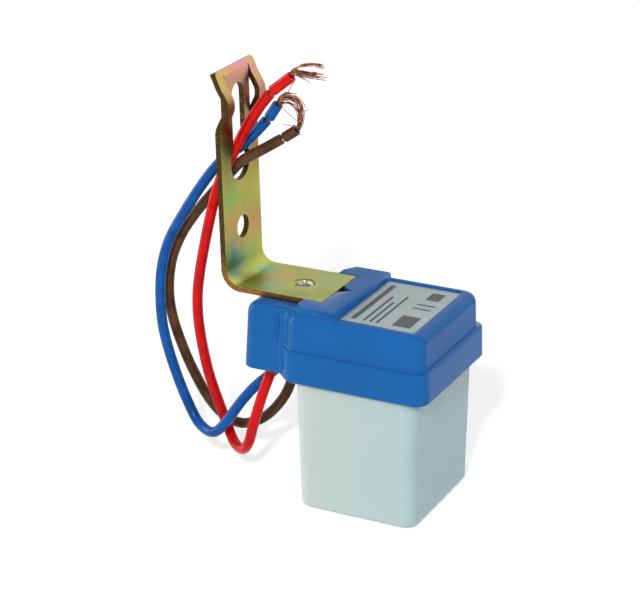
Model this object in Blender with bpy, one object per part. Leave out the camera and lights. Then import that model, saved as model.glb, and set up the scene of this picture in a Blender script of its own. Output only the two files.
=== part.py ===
"""Photocell switch: a moulded cap and a translucent cover over a relay board, on a folded steel bracket.

All sizes are in metres.  +Z is up and +X points from the bracket to the front of the housing.  The
origin is on the back of the bracket's upright leg, which holds the switch to a post, a lamp or a
wall.  The pieces are laid out from the middle of the cover's flat bottom, and the empty that
carries them sets that point under the bracket.
"""
import math

import bmesh
import bpy
from mathutils import Matrix, Vector

MM = 0.001

# Clearances and general sizes
FIT_GAP = 0.3 * MM            # between pieces that touch
CUT_PAST = 1.0 * MM           # how far a cutter runs past the face that it cuts
ARC_STEPS = 6                 # steps in a quarter turn of a moulded corner
ROUND_STEPS = 24              # sides of a turned piece

# Translucent cover
COVER_EXPOSED_HEIGHT = 36.2 * MM
COVER_INSET_X = 3.5 * MM      # from the skirt's outside to the cover's foot
COVER_INSET_Y = 2.35 * MM
COVER_DRAFT = 0.7 * MM        # how much wider it is at the cap than at the base, on each side
COVER_CORNER_RADIUS = 3.6 * MM
COVER_EDGE_RADIUS = 1.5 * MM
COVER_WALL = 1.5 * MM
COVER_INNER_EDGE = 1.0 * MM    # rounding between its floor and its walls, inside
COVER_RIM_STEP = 0.8 * MM      # height over which its wall steps in to the rim inside the skirt

# Cap: a skirt band, a narrower upper body, and a block behind for the wires and the screw
SKIRT_HALF_X = 20.3 * MM
SKIRT_HALF_Y = 20.45 * MM
SKIRT_HEIGHT = 8.5 * MM
SKIRT_WALL = 1.5 * MM
UPPER_HEIGHT = 9.4 * MM
LEDGE_WIDTH = 1.2 * MM        # step from the skirt in to the upper body
LEDGE_EDGE = 0.4 * MM
LEDGE_FALL = 0.05 * MM        # how much the ledge drops towards its edge
FOOT_EDGE = 0.3 * MM          # rounding of the cap's bottom edge
BAND_DRAFT = 0.15 * MM        # draft of each band over its height
CAP_WALL = 1.5 * MM
ROOF_WALL = 2.4 * MM
CAP_CORNER_RADIUS = 3.8 * MM
TOP_EDGE_RADIUS = 2.7 * MM
BLOCK_LENGTH = 13.3 * MM      # how far the rear block stands out behind the skirt
BLOCK_SIDE_STEP = 3.95 * MM   # from the skirt's side in to the block's side
BLOCK_DRAFT = 0.8 * MM
BLOCK_CORNER_RADIUS = 3.2 * MM
SHOULDER_FROM_REAR = 11.3 * MM  # from the block's rear to where its side turns out at 45 degrees
SHOULDER_FILLET = 1.6 * MM
BLOCK_INNER_RADIUS = 1.0 * MM
BLOCK_REAR_WALL = 1.2 * MM     # where it is thinnest, at the top
BLOCK_FLOOR = 1.8 * MM

# Raised collar that holds the end of the bracket's foot
COLLAR_DEPTH = 12.6 * MM      # from the upper body's rear to the collar's front
COLLAR_SIDE_STEP = 2.1 * MM   # from the upper body's side in to the collar's side
COLLAR_LIP = 6.9 * MM         # of collar in front of the bracket's foot
COLLAR_CHAMFER_X = 2.4 * MM
COLLAR_CHAMFER_Y = 3.6 * MM
COLLAR_EDGE_RADIUS = 0.9 * MM
NOTCH_HALF_WIDTH = 2.7 * MM
NOTCH_LENGTH = 3.9 * MM
NOTCH_DEPTH = 2.4 * MM

# Label panel on the cap
LABEL_MARGIN = 5.2 * MM       # from the skirt's outside to the panel's edge
LABEL_RECESS = 0.85 * MM
LABEL_THICKNESS = 0.2 * MM
LABEL_CORNER_RADIUS = 1.0 * MM

# Pointed flutes in the sides of the rear block
FLUTE_FROM_REAR = 10.4 * MM   # from the block's rear face at its bottom
FLUTE_RADIUS = 0.9 * MM
FLUTE_TIP_RADIUS = 0.15 * MM
FLUTE_POINT = 3.4 * MM        # length of the pointed lower part
FLUTE_LENGTH = 7.6 * MM
FLUTE_TOP_DROP = 1.2 * MM     # from the cap's top down to the flute's top

# Bracket: one strip of sheet steel
STRIP_THICKNESS = 1.5 * MM
STRIP_WIDTH = 20.0 * MM
FOOT_LENGTH = 27.85 * MM      # from the leg's front face to the foot's end
BEND_RADIUS = 4.0 * MM        # on the inside
BEND_STEPS = 9
LEG_LEAN = math.radians(1.4)
STRIP_TOP_HEIGHT = 57.0 * MM  # from the foot's top face to the strip's top edge
TOP_PLATE_HEIGHT = 2.0 * MM
TOP_PLATE_LEAN = math.radians(26.0)
BOW_HEIGHT = 15.2 * MM        # length of the bowed side strips
BOW_TOP_DROP = 1.5 * MM       # from the top edge down to the end of the bow
BOW_DEPTH = 2.85 * MM
BOW_RISE = 0.49               # share of the bow's height over which it rises
BOW_FALL = 0.47
BOW_STEPS = 22
SIDE_STRIP_WIDTH = 3.35 * MM
SHEAR_GAP = 0.3 * MM
ROW_TOLERANCE = 0.01 * MM     # rows closer than this to the end of the slits count as at it
LOWER_HOLE_RADIUS = 3.1 * MM
LOWER_HOLE_HEIGHT = 13.0 * MM  # above the foot's top face
WIRE_HOLE_RADIUS = 5.0 * MM
WIRE_HOLE_HEIGHT = 30.9 * MM
SLOT_HALF_WIDTH = 3.3 * MM
SLOT_TOP_HEIGHT = 52.1 * MM
TOP_CORNER_RADIUS = 1.2 * MM

# Screw and nut
SCREW_FROM_FOOT_END = 10.2 * MM
SCREW_RADIUS = 1.45 * MM
SCREW_LENGTH = 8.6 * MM
SCREW_HEAD_RADIUS = 2.55 * MM
SCREW_HEAD_DEPTH = 1.1 * MM
SCREW_HEAD_SINK = 0.15 * MM   # from the foot's top down to the head's widest edge
SCREW_DOME = 0.45 * MM
SCREW_HEAD_EDGE = 0.15 * MM
RECESS_LENGTH = 2.9 * MM
RECESS_WIDTH = 0.75 * MM
RECESS_DEPTH = 0.7 * MM
BOSS_RADIUS = 4.2 * MM
BOSS_LENGTH = 4.6 * MM
NUT_ACROSS_FLATS = 5.5 * MM
NUT_THICKNESS = 2.4 * MM

# Wires
WIRE_DIAMETER = 2.85 * MM
WIRE_PITCH = 8.0 * MM
WIRE_EXIT_FROM_REAR = 4.6 * MM  # from the block's rear face to the wires' axes
WIRE_POINT_SPACING = 4.0 * MM
STRAND_POINT_SPACING = 1.2 * MM
SEAL_THICKNESS = 3.4 * MM
SEAL_EDGE = 0.5 * MM
SEAL_FRONT_MARGIN = 0.8 * MM   # of seal beyond the wires
STRAND_RADIUS = 0.9 * MM
BOSS_CLEARANCE = 0.4 * MM     # between the screw boss and the lead that swings round it
LEAD_END_PITCH = 5.6 * MM
LEAD_STRAIGHT_PAST = 1.1 * MM  # how far a lead rises straight out of the seal
LEAD_OVER_BOARD = 2.6 * MM    # height of the leads' axes over the board
LEAD_END_OVER_BOARD = 1.6 * MM

# Board and what is on it
BOARD_THICKNESS = 1.6 * MM
POST_RADIUS = 2.2 * MM
POST_INSET = 2.9 * MM         # from the upper body's inside to a post's axis
PIN_RADIUS = 0.35 * MM
PIN_HOLE_RADIUS = 0.65 * MM
PIN_STAND_OUT = 0.6 * MM
ROOM_CLEARANCE = 0.6 * MM     # between the cover's inside and what hangs under the board
REAR_ZONE = 10.4 * MM         # length of the room's rear part, for the small parts
RELAY_HEIGHT = 15.2 * MM
RELAY_WALL = 0.8 * MM
RELAY_BASE_HEIGHT = 1.4 * MM
RELAY_PIN_INSET = 1.8 * MM
RELAY_EDGE = 0.5 * MM
COIL_RADIUS = 4.9 * MM
CORE_RADIUS = 2.0 * MM
YOKE_THICKNESS = 1.6 * MM
ARMATURE_THICKNESS = 1.2 * MM
CONTACT_SPACE = 2.7 * MM      # in front of the armature
MIDDLE_GAP = 0.3 * MM         # between the relay and the room's middle
CAPACITOR_GAP = 2.0 * MM      # between the room's middle and the film capacitor
CAPACITOR_REAR_GAP = 1.4 * MM
FILM_CAPACITOR_HEIGHT = 13.5 * MM
FILM_CAPACITOR_EDGE = 1.0 * MM
CAPACITOR_PIN_INSET = 1.3 * MM
RESISTOR_ZONE = 6.4 * MM      # width of the strip that holds the resistors
RESISTOR_COUNT = 2
RESISTOR_PITCH = 3.2 * MM
RESISTOR_RADIUS = 1.2 * MM
RESISTOR_LENGTH = 6.0 * MM
FILTER_CAPACITOR_RADIUS = 4.9 * MM
FILTER_CAPACITOR_HEIGHT = 14.0 * MM
FILTER_PIN_REACH = 2.5 * MM
BRIDGE_LENGTH = 8.4 * MM
BRIDGE_WIDTH = 6.2 * MM
BRIDGE_HEIGHT = 3.1 * MM
BRIDGE_PIN_PITCH = 5.0 * MM
BRIDGE_CENTRE_Y = -1.5 * MM
BRIDGE_SHIFT = 0.6 * MM       # towards the rear, away from the relay
AXIAL_LEAD_REACH = 1.2 * MM   # from the end of a lying part to the bend of its lead
ZENER_RADIUS = 0.95 * MM
ZENER_LENGTH = 3.6 * MM
ZENER_FROM_SIDE = 3.4 * MM    # from the room's side to the middle of the diode
ZENER_FROM_RELAY = 2.6 * MM
SENSOR_RADIUS = 2.55 * MM
SENSOR_THICKNESS = 1.9 * MM
SENSOR_DROP = 13.0 * MM
SENSOR_PIN_REACH = 1.7 * MM
SENSOR_FROM_REAR = 4.0 * MM   # from the room's rear to the sensor's middle
SENSOR_FROM_SIDE = 4.8 * MM

# Heights that follow from the sizes above
SKIRT_BOTTOM = COVER_EXPOSED_HEIGHT
LEDGE_Z = SKIRT_BOTTOM + SKIRT_HEIGHT
CAP_TOP = LEDGE_Z + UPPER_HEIGHT
SEAT_Z = CAP_TOP - FIT_GAP
FOOT_BOTTOM = SEAT_Z + FIT_GAP
FOOT_TOP = FOOT_BOTTOM + STRIP_THICKNESS
COLLAR_TOP = FOOT_TOP + 0.1 * MM
ROOF_Z = CAP_TOP - ROOF_WALL
RIM_TOP = LEDGE_Z - FIT_GAP
BOARD_BOTTOM = RIM_TOP + FIT_GAP
BOARD_TOP = BOARD_BOTTOM + BOARD_THICKNESS
SEAL_BOTTOM = SKIRT_BOTTOM + BLOCK_FLOOR + FIT_GAP
WIRE_START_Z = SKIRT_BOTTOM + 0.8 * MM

# Outlines that follow from the sizes above
COVER_BASE_HALF_X = SKIRT_HALF_X - COVER_INSET_X
COVER_BASE_HALF_Y = SKIRT_HALF_Y - COVER_INSET_Y
BLOCK_REAR_X = -SKIRT_HALF_X - BLOCK_LENGTH
BLOCK_HALF_Y = SKIRT_HALF_Y - BLOCK_SIDE_STEP
UPPER_HALF_X = SKIRT_HALF_X - BAND_DRAFT - LEDGE_WIDTH
UPPER_HALF_Y = SKIRT_HALF_Y - BAND_DRAFT - LEDGE_WIDTH
COLLAR_REAR_X = -UPPER_HALF_X + BAND_DRAFT
COLLAR_FRONT_X = COLLAR_REAR_X + COLLAR_DEPTH
COLLAR_HALF_Y = UPPER_HALF_Y - COLLAR_SIDE_STEP
FOOT_END_X = COLLAR_FRONT_X - COLLAR_LIP
SCREW_X = FOOT_END_X - SCREW_FROM_FOOT_END
WIRE_EXIT_X = BLOCK_REAR_X + WIRE_EXIT_FROM_REAR
UPPER_INNER_X = UPPER_HALF_X - BAND_DRAFT - CAP_WALL
UPPER_INNER_Y = UPPER_HALF_Y - BAND_DRAFT - CAP_WALL
SKIRT_INNER_X = SKIRT_HALF_X - BAND_DRAFT - SKIRT_WALL
SKIRT_INNER_Y = SKIRT_HALF_Y - BAND_DRAFT - SKIRT_WALL
INNER_CORNER_RADIUS = CAP_CORNER_RADIUS - CAP_WALL
BLOCK_INNER_REAR = BLOCK_REAR_X + BLOCK_DRAFT + BLOCK_REAR_WALL
BLOCK_INNER_HALF_Y = BLOCK_HALF_Y - BLOCK_DRAFT - CAP_WALL
BOARD_HALF_X = UPPER_INNER_X - FIT_GAP
BOARD_HALF_Y = UPPER_INNER_Y - FIT_GAP
ROOM_HALF_X = COVER_BASE_HALF_X - COVER_WALL - ROOM_CLEARANCE
ROOM_HALF_Y = COVER_BASE_HALF_Y - COVER_WALL - ROOM_CLEARANCE
FRONT_ZONE_X = -ROOM_HALF_X + REAR_ZONE

# Where the middle of the cover's bottom lies from the origin on the back of the bracket's leg
BACK_HEIGHT = 18.4 * MM       # of the origin above the foot's top
LEG_BACK_X = (FOOT_END_X - FOOT_LENGTH - BACK_HEIGHT * math.tan(LEG_LEAN)
              - STRIP_THICKNESS / math.cos(LEG_LEAN))
COVER_PLACE = Vector((-LEG_BACK_X, 0.0, -FOOT_TOP - BACK_HEIGHT))

# Routes of the wires outside the block, chosen by eye, in millimetres
WIRE_ROUTES = {
    "red": [(-29, -8, 37), (-29, -8, 33.8), (-31, -10, 25.9), (-33.6, -10.5, 16.8),
            (-34.7, -10.4, 12.6), (-35.8, -9.9, 10.2), (-37.7, -8.6, 8), (-40.2, -6.8, 7.1),
            (-42.9, -5.1, 8.1), (-45, -3.9, 10.8), (-47.2, -3.1, 15), (-49.6, -2.8, 20.6),
            (-51.4, -2.9, 26.3), (-53, -4, 38.2), (-52.9, -5, 47.3), (-51.6, -5.8, 55),
            (-49.6, -6.2, 63.9), (-47.6, -6, 72.6), (-46.3, -4.8, 79.2), (-45.2, -3.3, 83.5),
            (-43.7, -2.25, 87.1), (-41.9, -1.55, 90.8), (-39.9, -1.6, 94.6), (-37.8, -1.8, 98),
            (-36, -1.9, 100.8), (-33.8, -2, 103.9), (-31.6, -2, 106.6)],
    "blue": [(-29, 0, 37), (-29, 0, 35.2), (-29.6, -0.1, 32.9), (-31.3, -0.7, 30.2),
             (-33.8, -1.8, 27.5), (-36.8, -3.6, 24.5), (-39.6, -6.5, 20.5), (-42.4, -9.6, 15.5),
             (-46.6, -9, 11.3), (-52.4, -6.5, 11.5), (-57.4, -5, 17.9), (-61.7, -5, 29),
             (-63.9, -5, 37.7), (-64.4, -5, 45.3), (-63.9, -4.8, 54), (-61.5, -4.3, 62.8),
             (-56.7, -3.4, 71.7), (-51.6, -2, 80), (-48.3, -0.6, 84.6), (-45.2, 0.8, 88),
             (-42.4, 1.5, 89.9), (-40.2, 1.5, 92), (-37.4, 1.4, 94.9), (-34.5, 1.3, 98.1)],
    "brown": [(-29, 8, 37), (-29, 8, 33.8), (-31.4, 6, 21.6), (-33.4, 4.5, 17.3), (-37.5, 2.8, 12.7),
              (-43.3, 1.8, 10.1), (-48.2, 1.2, 11.2), (-52.6, 0.8, 15), (-57, 0, 22.6),
              (-60.5, -0.8, 31.2), (-63.3, -0.9, 39.7), (-64.1, -0.9, 46.8), (-63, -0.7, 55.7),
              (-59.9, -0.5, 63.3), (-55.2, -0.3, 70.4), (-50, 0.2, 76.8), (-45.6, 0.5, 82),
              (-42.4, 0.3, 85.6), (-39.9, 0.8, 87.6), (-37.7, 1.6, 88.9), (-34.2, 2.4, 91.1),
              (-31, 2.8, 93.2)],
}

# Short pieces of insulation pushed along the bared ends, and the bunches of strands past them
SLUG_ROUTES = {
    "red": [(-31.0, -2.0, 107.3), (-27.7, -1.8, 110.1), (-24.9, -1.6, 112.2)],
    "blue": [(-33.8, 1.3, 99.0), (-32.5, 1.4, 101.4), (-31.3, 1.4, 103.7)],
    "brown": [(-30.1, 2.9, 93.7), (-28.4, 3.1, 94.9), (-26.7, 3.3, 96.2)],
}
STRAND_ROUTES = {
    "red": [(-24.6, -1.6, 112.45), (-20.4, -1.5, 114.3), (-15.9, -1.5, 114.6)],
    "blue": [(-31.1, 1.4, 104.1), (-28.9, 1.4, 106.0), (-26.0, 1.2, 106.4), (-24.0, 1.0, 105.0)],
    "brown": [(-26.35, 3.3, 96.5), (-24.9, 3.2, 98.3), (-24.6, 3.0, 100.3)],
}

board_holes = []


def clear_scene():
    for existing in list(bpy.data.objects):
        bpy.data.objects.remove(existing, do_unlink=True)


def make_material(name, colour, roughness, metallic=0.0, alpha=1.0):
    material = bpy.data.materials.new(name)
    material.use_nodes = True
    shader = material.node_tree.nodes["Principled BSDF"]
    shader.inputs["Base Color"].default_value = (*colour, 1.0)
    shader.inputs["Roughness"].default_value = roughness
    shader.inputs["Metallic"].default_value = metallic
    shader.inputs["Alpha"].default_value = alpha
    return material


def add_object(name, mesh_data, material):
    piece = bpy.data.objects.new(name, mesh_data)
    bpy.context.scene.collection.objects.link(piece)
    if material is not None:
        piece.data.materials.append(material)
    return piece


def object_from_bmesh(name, shape, material, smooth_angle=math.radians(32)):
    bmesh.ops.recalc_face_normals(shape, faces=shape.faces)
    mesh = bpy.data.meshes.new(name)
    shape.to_mesh(mesh)
    shape.free()
    mesh.shade_smooth()
    mesh.set_sharp_from_angle(angle=smooth_angle)
    return add_object(name, mesh, material)


def make_cutter(piece):
    piece.hide_render = True
    piece.display_type = "WIRE"
    return piece


def combine(target, other, operation):
    modifier = target.modifiers.new(operation.title() + " " + other.name, "BOOLEAN")
    modifier.operation = operation
    modifier.solver = "EXACT"
    modifier.object = make_cutter(other)
    return modifier


def arc_points(centre_x, centre_y, radius, start, end, steps):
    """Points of an arc in the plane, both ends included."""
    points = []
    for step in range(steps + 1):
        angle = start + (end - start) * step / steps
        points.append((centre_x + radius * math.cos(angle), centre_y + radius * math.sin(angle)))
    return points


def rounded_rectangle(half_x, half_y, radius, centre=(0.0, 0.0)):
    """Outline, counter-clockwise, with a quarter arc at each corner."""
    corner_x = half_x - radius
    corner_y = half_y - radius
    outline = []
    for quarter, (side_x, side_y) in enumerate(((1, 1), (-1, 1), (-1, -1), (1, -1))):
        start = quarter * math.pi / 2
        outline += arc_points(centre[0] + side_x * corner_x, centre[1] + side_y * corner_y, radius,
                              start, start + math.pi / 2, ARC_STEPS)
    return outline


def at_height(outline, height):
    return [Vector((x, y, height)) for x, y in outline]


def loft(rings):
    """Closed shape through rings of as many points each, with flat ends."""
    shape = bmesh.new()
    rows = [[shape.verts.new(point) for point in ring] for ring in rings]
    count = len(rows[0])
    for lower, upper in zip(rows, rows[1:]):
        for index in range(count):
            following = (index + 1) % count
            shape.faces.new((lower[index], lower[following], upper[following], upper[index]))
    shape.faces.new(list(reversed(rows[0])))
    shape.faces.new(rows[-1])
    return shape


def circle_ring(radius, height, steps=ROUND_STEPS, centre=(0.0, 0.0)):
    return [Vector((centre[0] + radius * math.cos(2 * math.pi * step / steps),
                    centre[1] + radius * math.sin(2 * math.pi * step / steps), height))
            for step in range(steps)]


def turned(profile, steps=ROUND_STEPS, centre=(0.0, 0.0)):
    """Closed shape from (radius, height) pairs, bottom to top."""
    return loft([circle_ring(radius, height, steps, centre) for radius, height in profile])


def cylinder_along(name, start, end, radius, material, steps=ROUND_STEPS):
    start = Vector(start)
    end = Vector(end)
    axis = end - start
    shape = turned([(radius, 0.0), (radius, axis.length)], steps)
    turn = axis.to_track_quat("Z", "Y").to_matrix().to_4x4()
    bmesh.ops.transform(shape, matrix=Matrix.Translation(start) @ turn, verts=shape.verts)
    return object_from_bmesh(name, shape, material)


def block_shape(low, high, bevel=0.0, bevel_steps=2):
    low = Vector(low)
    high = Vector(high)
    shape = bmesh.new()
    bmesh.ops.create_cube(shape, size=1.0)
    size = high - low
    bmesh.ops.scale(shape, vec=size, verts=shape.verts)
    bmesh.ops.translate(shape, vec=(low + high) / 2, verts=shape.verts)
    if bevel > 0.0:
        bmesh.ops.bevel(shape, geom=shape.edges[:], offset=bevel, segments=bevel_steps,
                        affect="EDGES", profile=0.5)
    return shape


def join_shapes(shapes):
    """One bmesh that holds several separate closed shapes, for a cutter."""
    joined = bmesh.new()
    for shape in shapes:
        mesh = bpy.data.meshes.new("part_of_cutter")
        shape.to_mesh(mesh)
        shape.free()
        joined.from_mesh(mesh)
        bpy.data.meshes.remove(mesh)
    return joined


def in_metres(route):
    return [Vector(point) * MM for point in route]


def smooth_route(route, spacing):
    """Evenly spaced points on a smooth curve through the points of a route."""
    knots = [Vector(point) for point in route]
    knots = [2 * knots[0] - knots[1]] + knots + [2 * knots[-1] - knots[-2]]
    dense = []
    samples = 24
    for index in range(1, len(knots) - 2):
        before, start, end, after = knots[index - 1:index + 3]
        times = [0.0]
        for first, second in ((before, start), (start, end), (end, after)):
            times.append(times[-1] + math.sqrt((second - first).length))
        for sample in range(samples):
            time = times[1] + (times[2] - times[1]) * sample / samples
            dense.append(curve_point((before, start, end, after), times, time))
    dense.append(knots[-2])
    return resample(dense, spacing)


def curve_point(knots, times, time):
    """A point of the centripetal Catmull-Rom curve between the second and third of four knots."""
    firsts = [blend(knots[index:index + 2], times[index], times[index + 1], time)
              for index in range(3)]
    seconds = [blend(firsts[index:index + 2], times[index], times[index + 2], time)
               for index in range(2)]
    return blend(seconds, times[1], times[2], time)


def blend(pair, low, high, time):
    share = (time - low) / (high - low)
    return pair[0] + (pair[1] - pair[0]) * share


def resample(points, spacing):
    lengths = [0.0]
    for first, second in zip(points, points[1:]):
        lengths.append(lengths[-1] + (second - first).length)
    count = max(2, round(lengths[-1] / spacing))
    result = []
    index = 0
    for step in range(count + 1):
        target = lengths[-1] * step / count
        while index < len(points) - 2 and lengths[index + 1] < target:
            index += 1
        share = (target - lengths[index]) / (lengths[index + 1] - lengths[index])
        result.append(points[index].lerp(points[index + 1], share))
    return result


def tube_along(name, route, diameter, material):
    """Round tube with closed ends along a smooth route."""
    points = smooth_route(route, WIRE_POINT_SPACING)
    curve = bpy.data.curves.new(name, "CURVE")
    curve.dimensions = "3D"
    curve.bevel_depth = diameter / 2
    curve.bevel_resolution = 2
    curve.use_fill_caps = True
    spline = curve.splines.new("POLY")
    spline.points.add(len(points) - 1)
    for spline_point, point in zip(spline.points, points):
        spline_point.co = (*point, 1.0)
    spline.use_smooth = True
    return add_object(name, curve, material)


def cap_outline(setback, draft, inset):
    """Plan of the cap, counter-clockwise: a rounded body, 45 degree shoulders and the block behind.

    setback is how far the body is inside the skirt's foot, and draft how far the block is inside
    its own foot.  inset shrinks the whole plan, for the rounded edges.
    """
    body_x = SKIRT_HALF_X - setback
    body_y = SKIRT_HALF_Y - setback
    block_y = BLOCK_HALF_Y - draft
    corner = CAP_CORNER_RADIUS
    slant = BLOCK_HALF_Y - (BLOCK_REAR_X + SHOULDER_FROM_REAR) - setback * math.sqrt(2)
    half_turn = math.tan(math.pi / 8)
    shoulder_x = body_y - slant + corner * half_turn
    fillet_x = block_y - slant - SHOULDER_FILLET * half_turn
    round_block_x = BLOCK_REAR_X + draft + BLOCK_CORNER_RADIUS
    round_block_y = block_y - BLOCK_CORNER_RADIUS
    outer = corner - inset
    hollow = SHOULDER_FILLET + inset
    rear = BLOCK_CORNER_RADIUS - inset
    turn = math.pi
    steps = ARC_STEPS // 2
    half_side = arc_points(body_x - corner, body_y - corner, outer, 0.0, turn / 2, ARC_STEPS)
    half_side += arc_points(shoulder_x, body_y - corner, outer, turn / 2, turn * 0.75, steps)
    half_side += arc_points(fillet_x, block_y + SHOULDER_FILLET, hollow, -turn / 4, -turn / 2, steps)
    half_side += arc_points(round_block_x, round_block_y, rear, turn / 2, turn, ARC_STEPS)
    other_side = [(x, -y) for x, y in reversed(half_side)]
    return half_side + other_side


def cap_ring(height, setback, inset=0.0):
    """One level of the cap's outside; setback is how far the body is inside the skirt's foot."""
    draft = BLOCK_DRAFT * (height - SKIRT_BOTTOM) / (CAP_TOP - SKIRT_BOTTOM)
    return at_height(cap_outline(setback, draft, inset), height)


def cap_body():
    """Outside of the cap below the collar: skirt, ledge, upper body, block and rounded top edge."""
    ledge_setback = BAND_DRAFT + LEDGE_WIDTH
    rings = [
        cap_ring(SKIRT_BOTTOM, 0.0, FOOT_EDGE),
        cap_ring(SKIRT_BOTTOM + FOOT_EDGE, 0.0),
        cap_ring(LEDGE_Z - LEDGE_EDGE, BAND_DRAFT),
        cap_ring(LEDGE_Z - LEDGE_EDGE * 0.3, BAND_DRAFT + LEDGE_EDGE * 0.3),
        cap_ring(LEDGE_Z, BAND_DRAFT + LEDGE_EDGE),
        cap_ring(LEDGE_Z + LEDGE_FALL, ledge_setback),
    ]
    round_start = CAP_TOP - TOP_EDGE_RADIUS
    full_setback = ledge_setback + BAND_DRAFT
    for step in range(ARC_STEPS + 1):
        angle = math.pi / 2 * step / ARC_STEPS
        height = round_start + TOP_EDGE_RADIUS * math.sin(angle)
        inset = TOP_EDGE_RADIUS * (1 - math.cos(angle))
        rings.append(cap_ring(height, full_setback, inset))
    return loft(rings)


def collar_outline(inset):
    rear = COLLAR_REAR_X + inset
    front = COLLAR_FRONT_X - inset
    side = COLLAR_HALF_Y - inset
    shift = inset * 0.4
    chamfer_x = rear + COLLAR_CHAMFER_X - shift
    chamfer_y = side - COLLAR_CHAMFER_Y + shift
    return [(front, -side), (front, side), (chamfer_x, side), (rear, chamfer_y),
            (rear, -chamfer_y), (chamfer_x, -side)]


def collar_shape():
    rings = [at_height(collar_outline(0.0), CAP_TOP - TOP_EDGE_RADIUS / 2),
             at_height(collar_outline(0.0), COLLAR_TOP - COLLAR_EDGE_RADIUS)]
    steps = 3
    for step in range(1, steps + 1):
        angle = math.pi / 2 * step / steps
        inset = COLLAR_EDGE_RADIUS * (1 - math.cos(angle))
        height = COLLAR_TOP - COLLAR_EDGE_RADIUS * (1 - math.sin(angle))
        rings.append(at_height(collar_outline(inset), height))
    return loft(rings)


def cut_below_foot(cap):
    """Seat for the foot: across the block's top and into the collar, with a pointed notch ahead."""
    side = STRIP_WIDTH / 2 + FIT_GAP
    front = FOOT_END_X + FIT_GAP
    above = COLLAR_TOP + CUT_PAST
    seat = block_shape((BLOCK_REAR_X - CUT_PAST, -side, SEAT_Z), (front, side, above))
    combine(cap, object_from_bmesh("foot_seat_cutter", seat, None), "DIFFERENCE")
    base_x = front - CUT_PAST / 2
    tip_x = front + NOTCH_LENGTH
    outline = [(base_x, -NOTCH_HALF_WIDTH), (tip_x, 0.0), (base_x, NOTCH_HALF_WIDTH)]
    notch = loft([at_height(outline, COLLAR_TOP - NOTCH_DEPTH), at_height(outline, above)])
    combine(cap, object_from_bmesh("notch_cutter", notch, None), "DIFFERENCE")


def label_outline(margin):
    """Half sizes, centre and corner radius of the label panel, shrunk by margin."""
    front = SKIRT_HALF_X - LABEL_MARGIN - margin
    rear = COLLAR_FRONT_X + margin
    half_x = (front - rear) / 2
    half_y = SKIRT_HALF_Y - LABEL_MARGIN - margin
    radius = LABEL_CORNER_RADIUS - margin
    return rounded_rectangle(half_x, half_y, radius, ((front + rear) / 2, 0.0))


def cut_inside(cap):
    """Hollow of the skirt, of the upper body and of the block, open to each other."""
    below = SKIRT_BOTTOM - CUT_PAST
    skirt = loft([
        at_height(rounded_rectangle(SKIRT_INNER_X, SKIRT_INNER_Y, INNER_CORNER_RADIUS), below),
        at_height(rounded_rectangle(SKIRT_INNER_X, SKIRT_INNER_Y, INNER_CORNER_RADIUS), LEDGE_Z)])
    combine(cap, object_from_bmesh("skirt_hollow_cutter", skirt, None), "DIFFERENCE")
    inner = rounded_rectangle(UPPER_INNER_X, UPPER_INNER_Y, INNER_CORNER_RADIUS)
    upper = loft([at_height(inner, LEDGE_Z - CUT_PAST / 2), at_height(inner, ROOF_Z)])
    combine(cap, object_from_bmesh("body_hollow_cutter", upper, None), "DIFFERENCE")
    front = -UPPER_INNER_X + INNER_CORNER_RADIUS
    half_x = (front - BLOCK_INNER_REAR) / 2
    centre = (front + BLOCK_INNER_REAR) / 2
    outline = rounded_rectangle(half_x, BLOCK_INNER_HALF_Y, BLOCK_INNER_RADIUS, (centre, 0.0))
    block = loft([at_height(outline, SKIRT_BOTTOM + BLOCK_FLOOR), at_height(outline, ROOF_Z)])
    combine(cap, object_from_bmesh("block_hollow_cutter", block, None), "DIFFERENCE")


def post_places():
    post_x = UPPER_INNER_X - POST_INSET
    post_y = UPPER_INNER_Y - POST_INSET
    return [(side_x * post_x, side_y * post_y) for side_x in (-1, 1) for side_y in (-1, 1)]


def add_bosses(cap):
    """Screw boss in the block and four posts that hold the board down."""
    overlap = ROOF_WALL / 2
    boss = turned([(BOSS_RADIUS, ROOF_Z - BOSS_LENGTH), (BOSS_RADIUS, ROOF_Z + overlap)],
                  centre=(SCREW_X, 0.0))
    combine(cap, object_from_bmesh("screw_boss", boss, None), "UNION")
    for index, place in enumerate(post_places()):
        post = turned([(POST_RADIUS * 0.85, BOARD_TOP + FIT_GAP), (POST_RADIUS, ROOF_Z + overlap)],
                      steps=12, centre=place)
        combine(cap, object_from_bmesh("board_post_%d" % (index + 1), post, None), "UNION")


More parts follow.
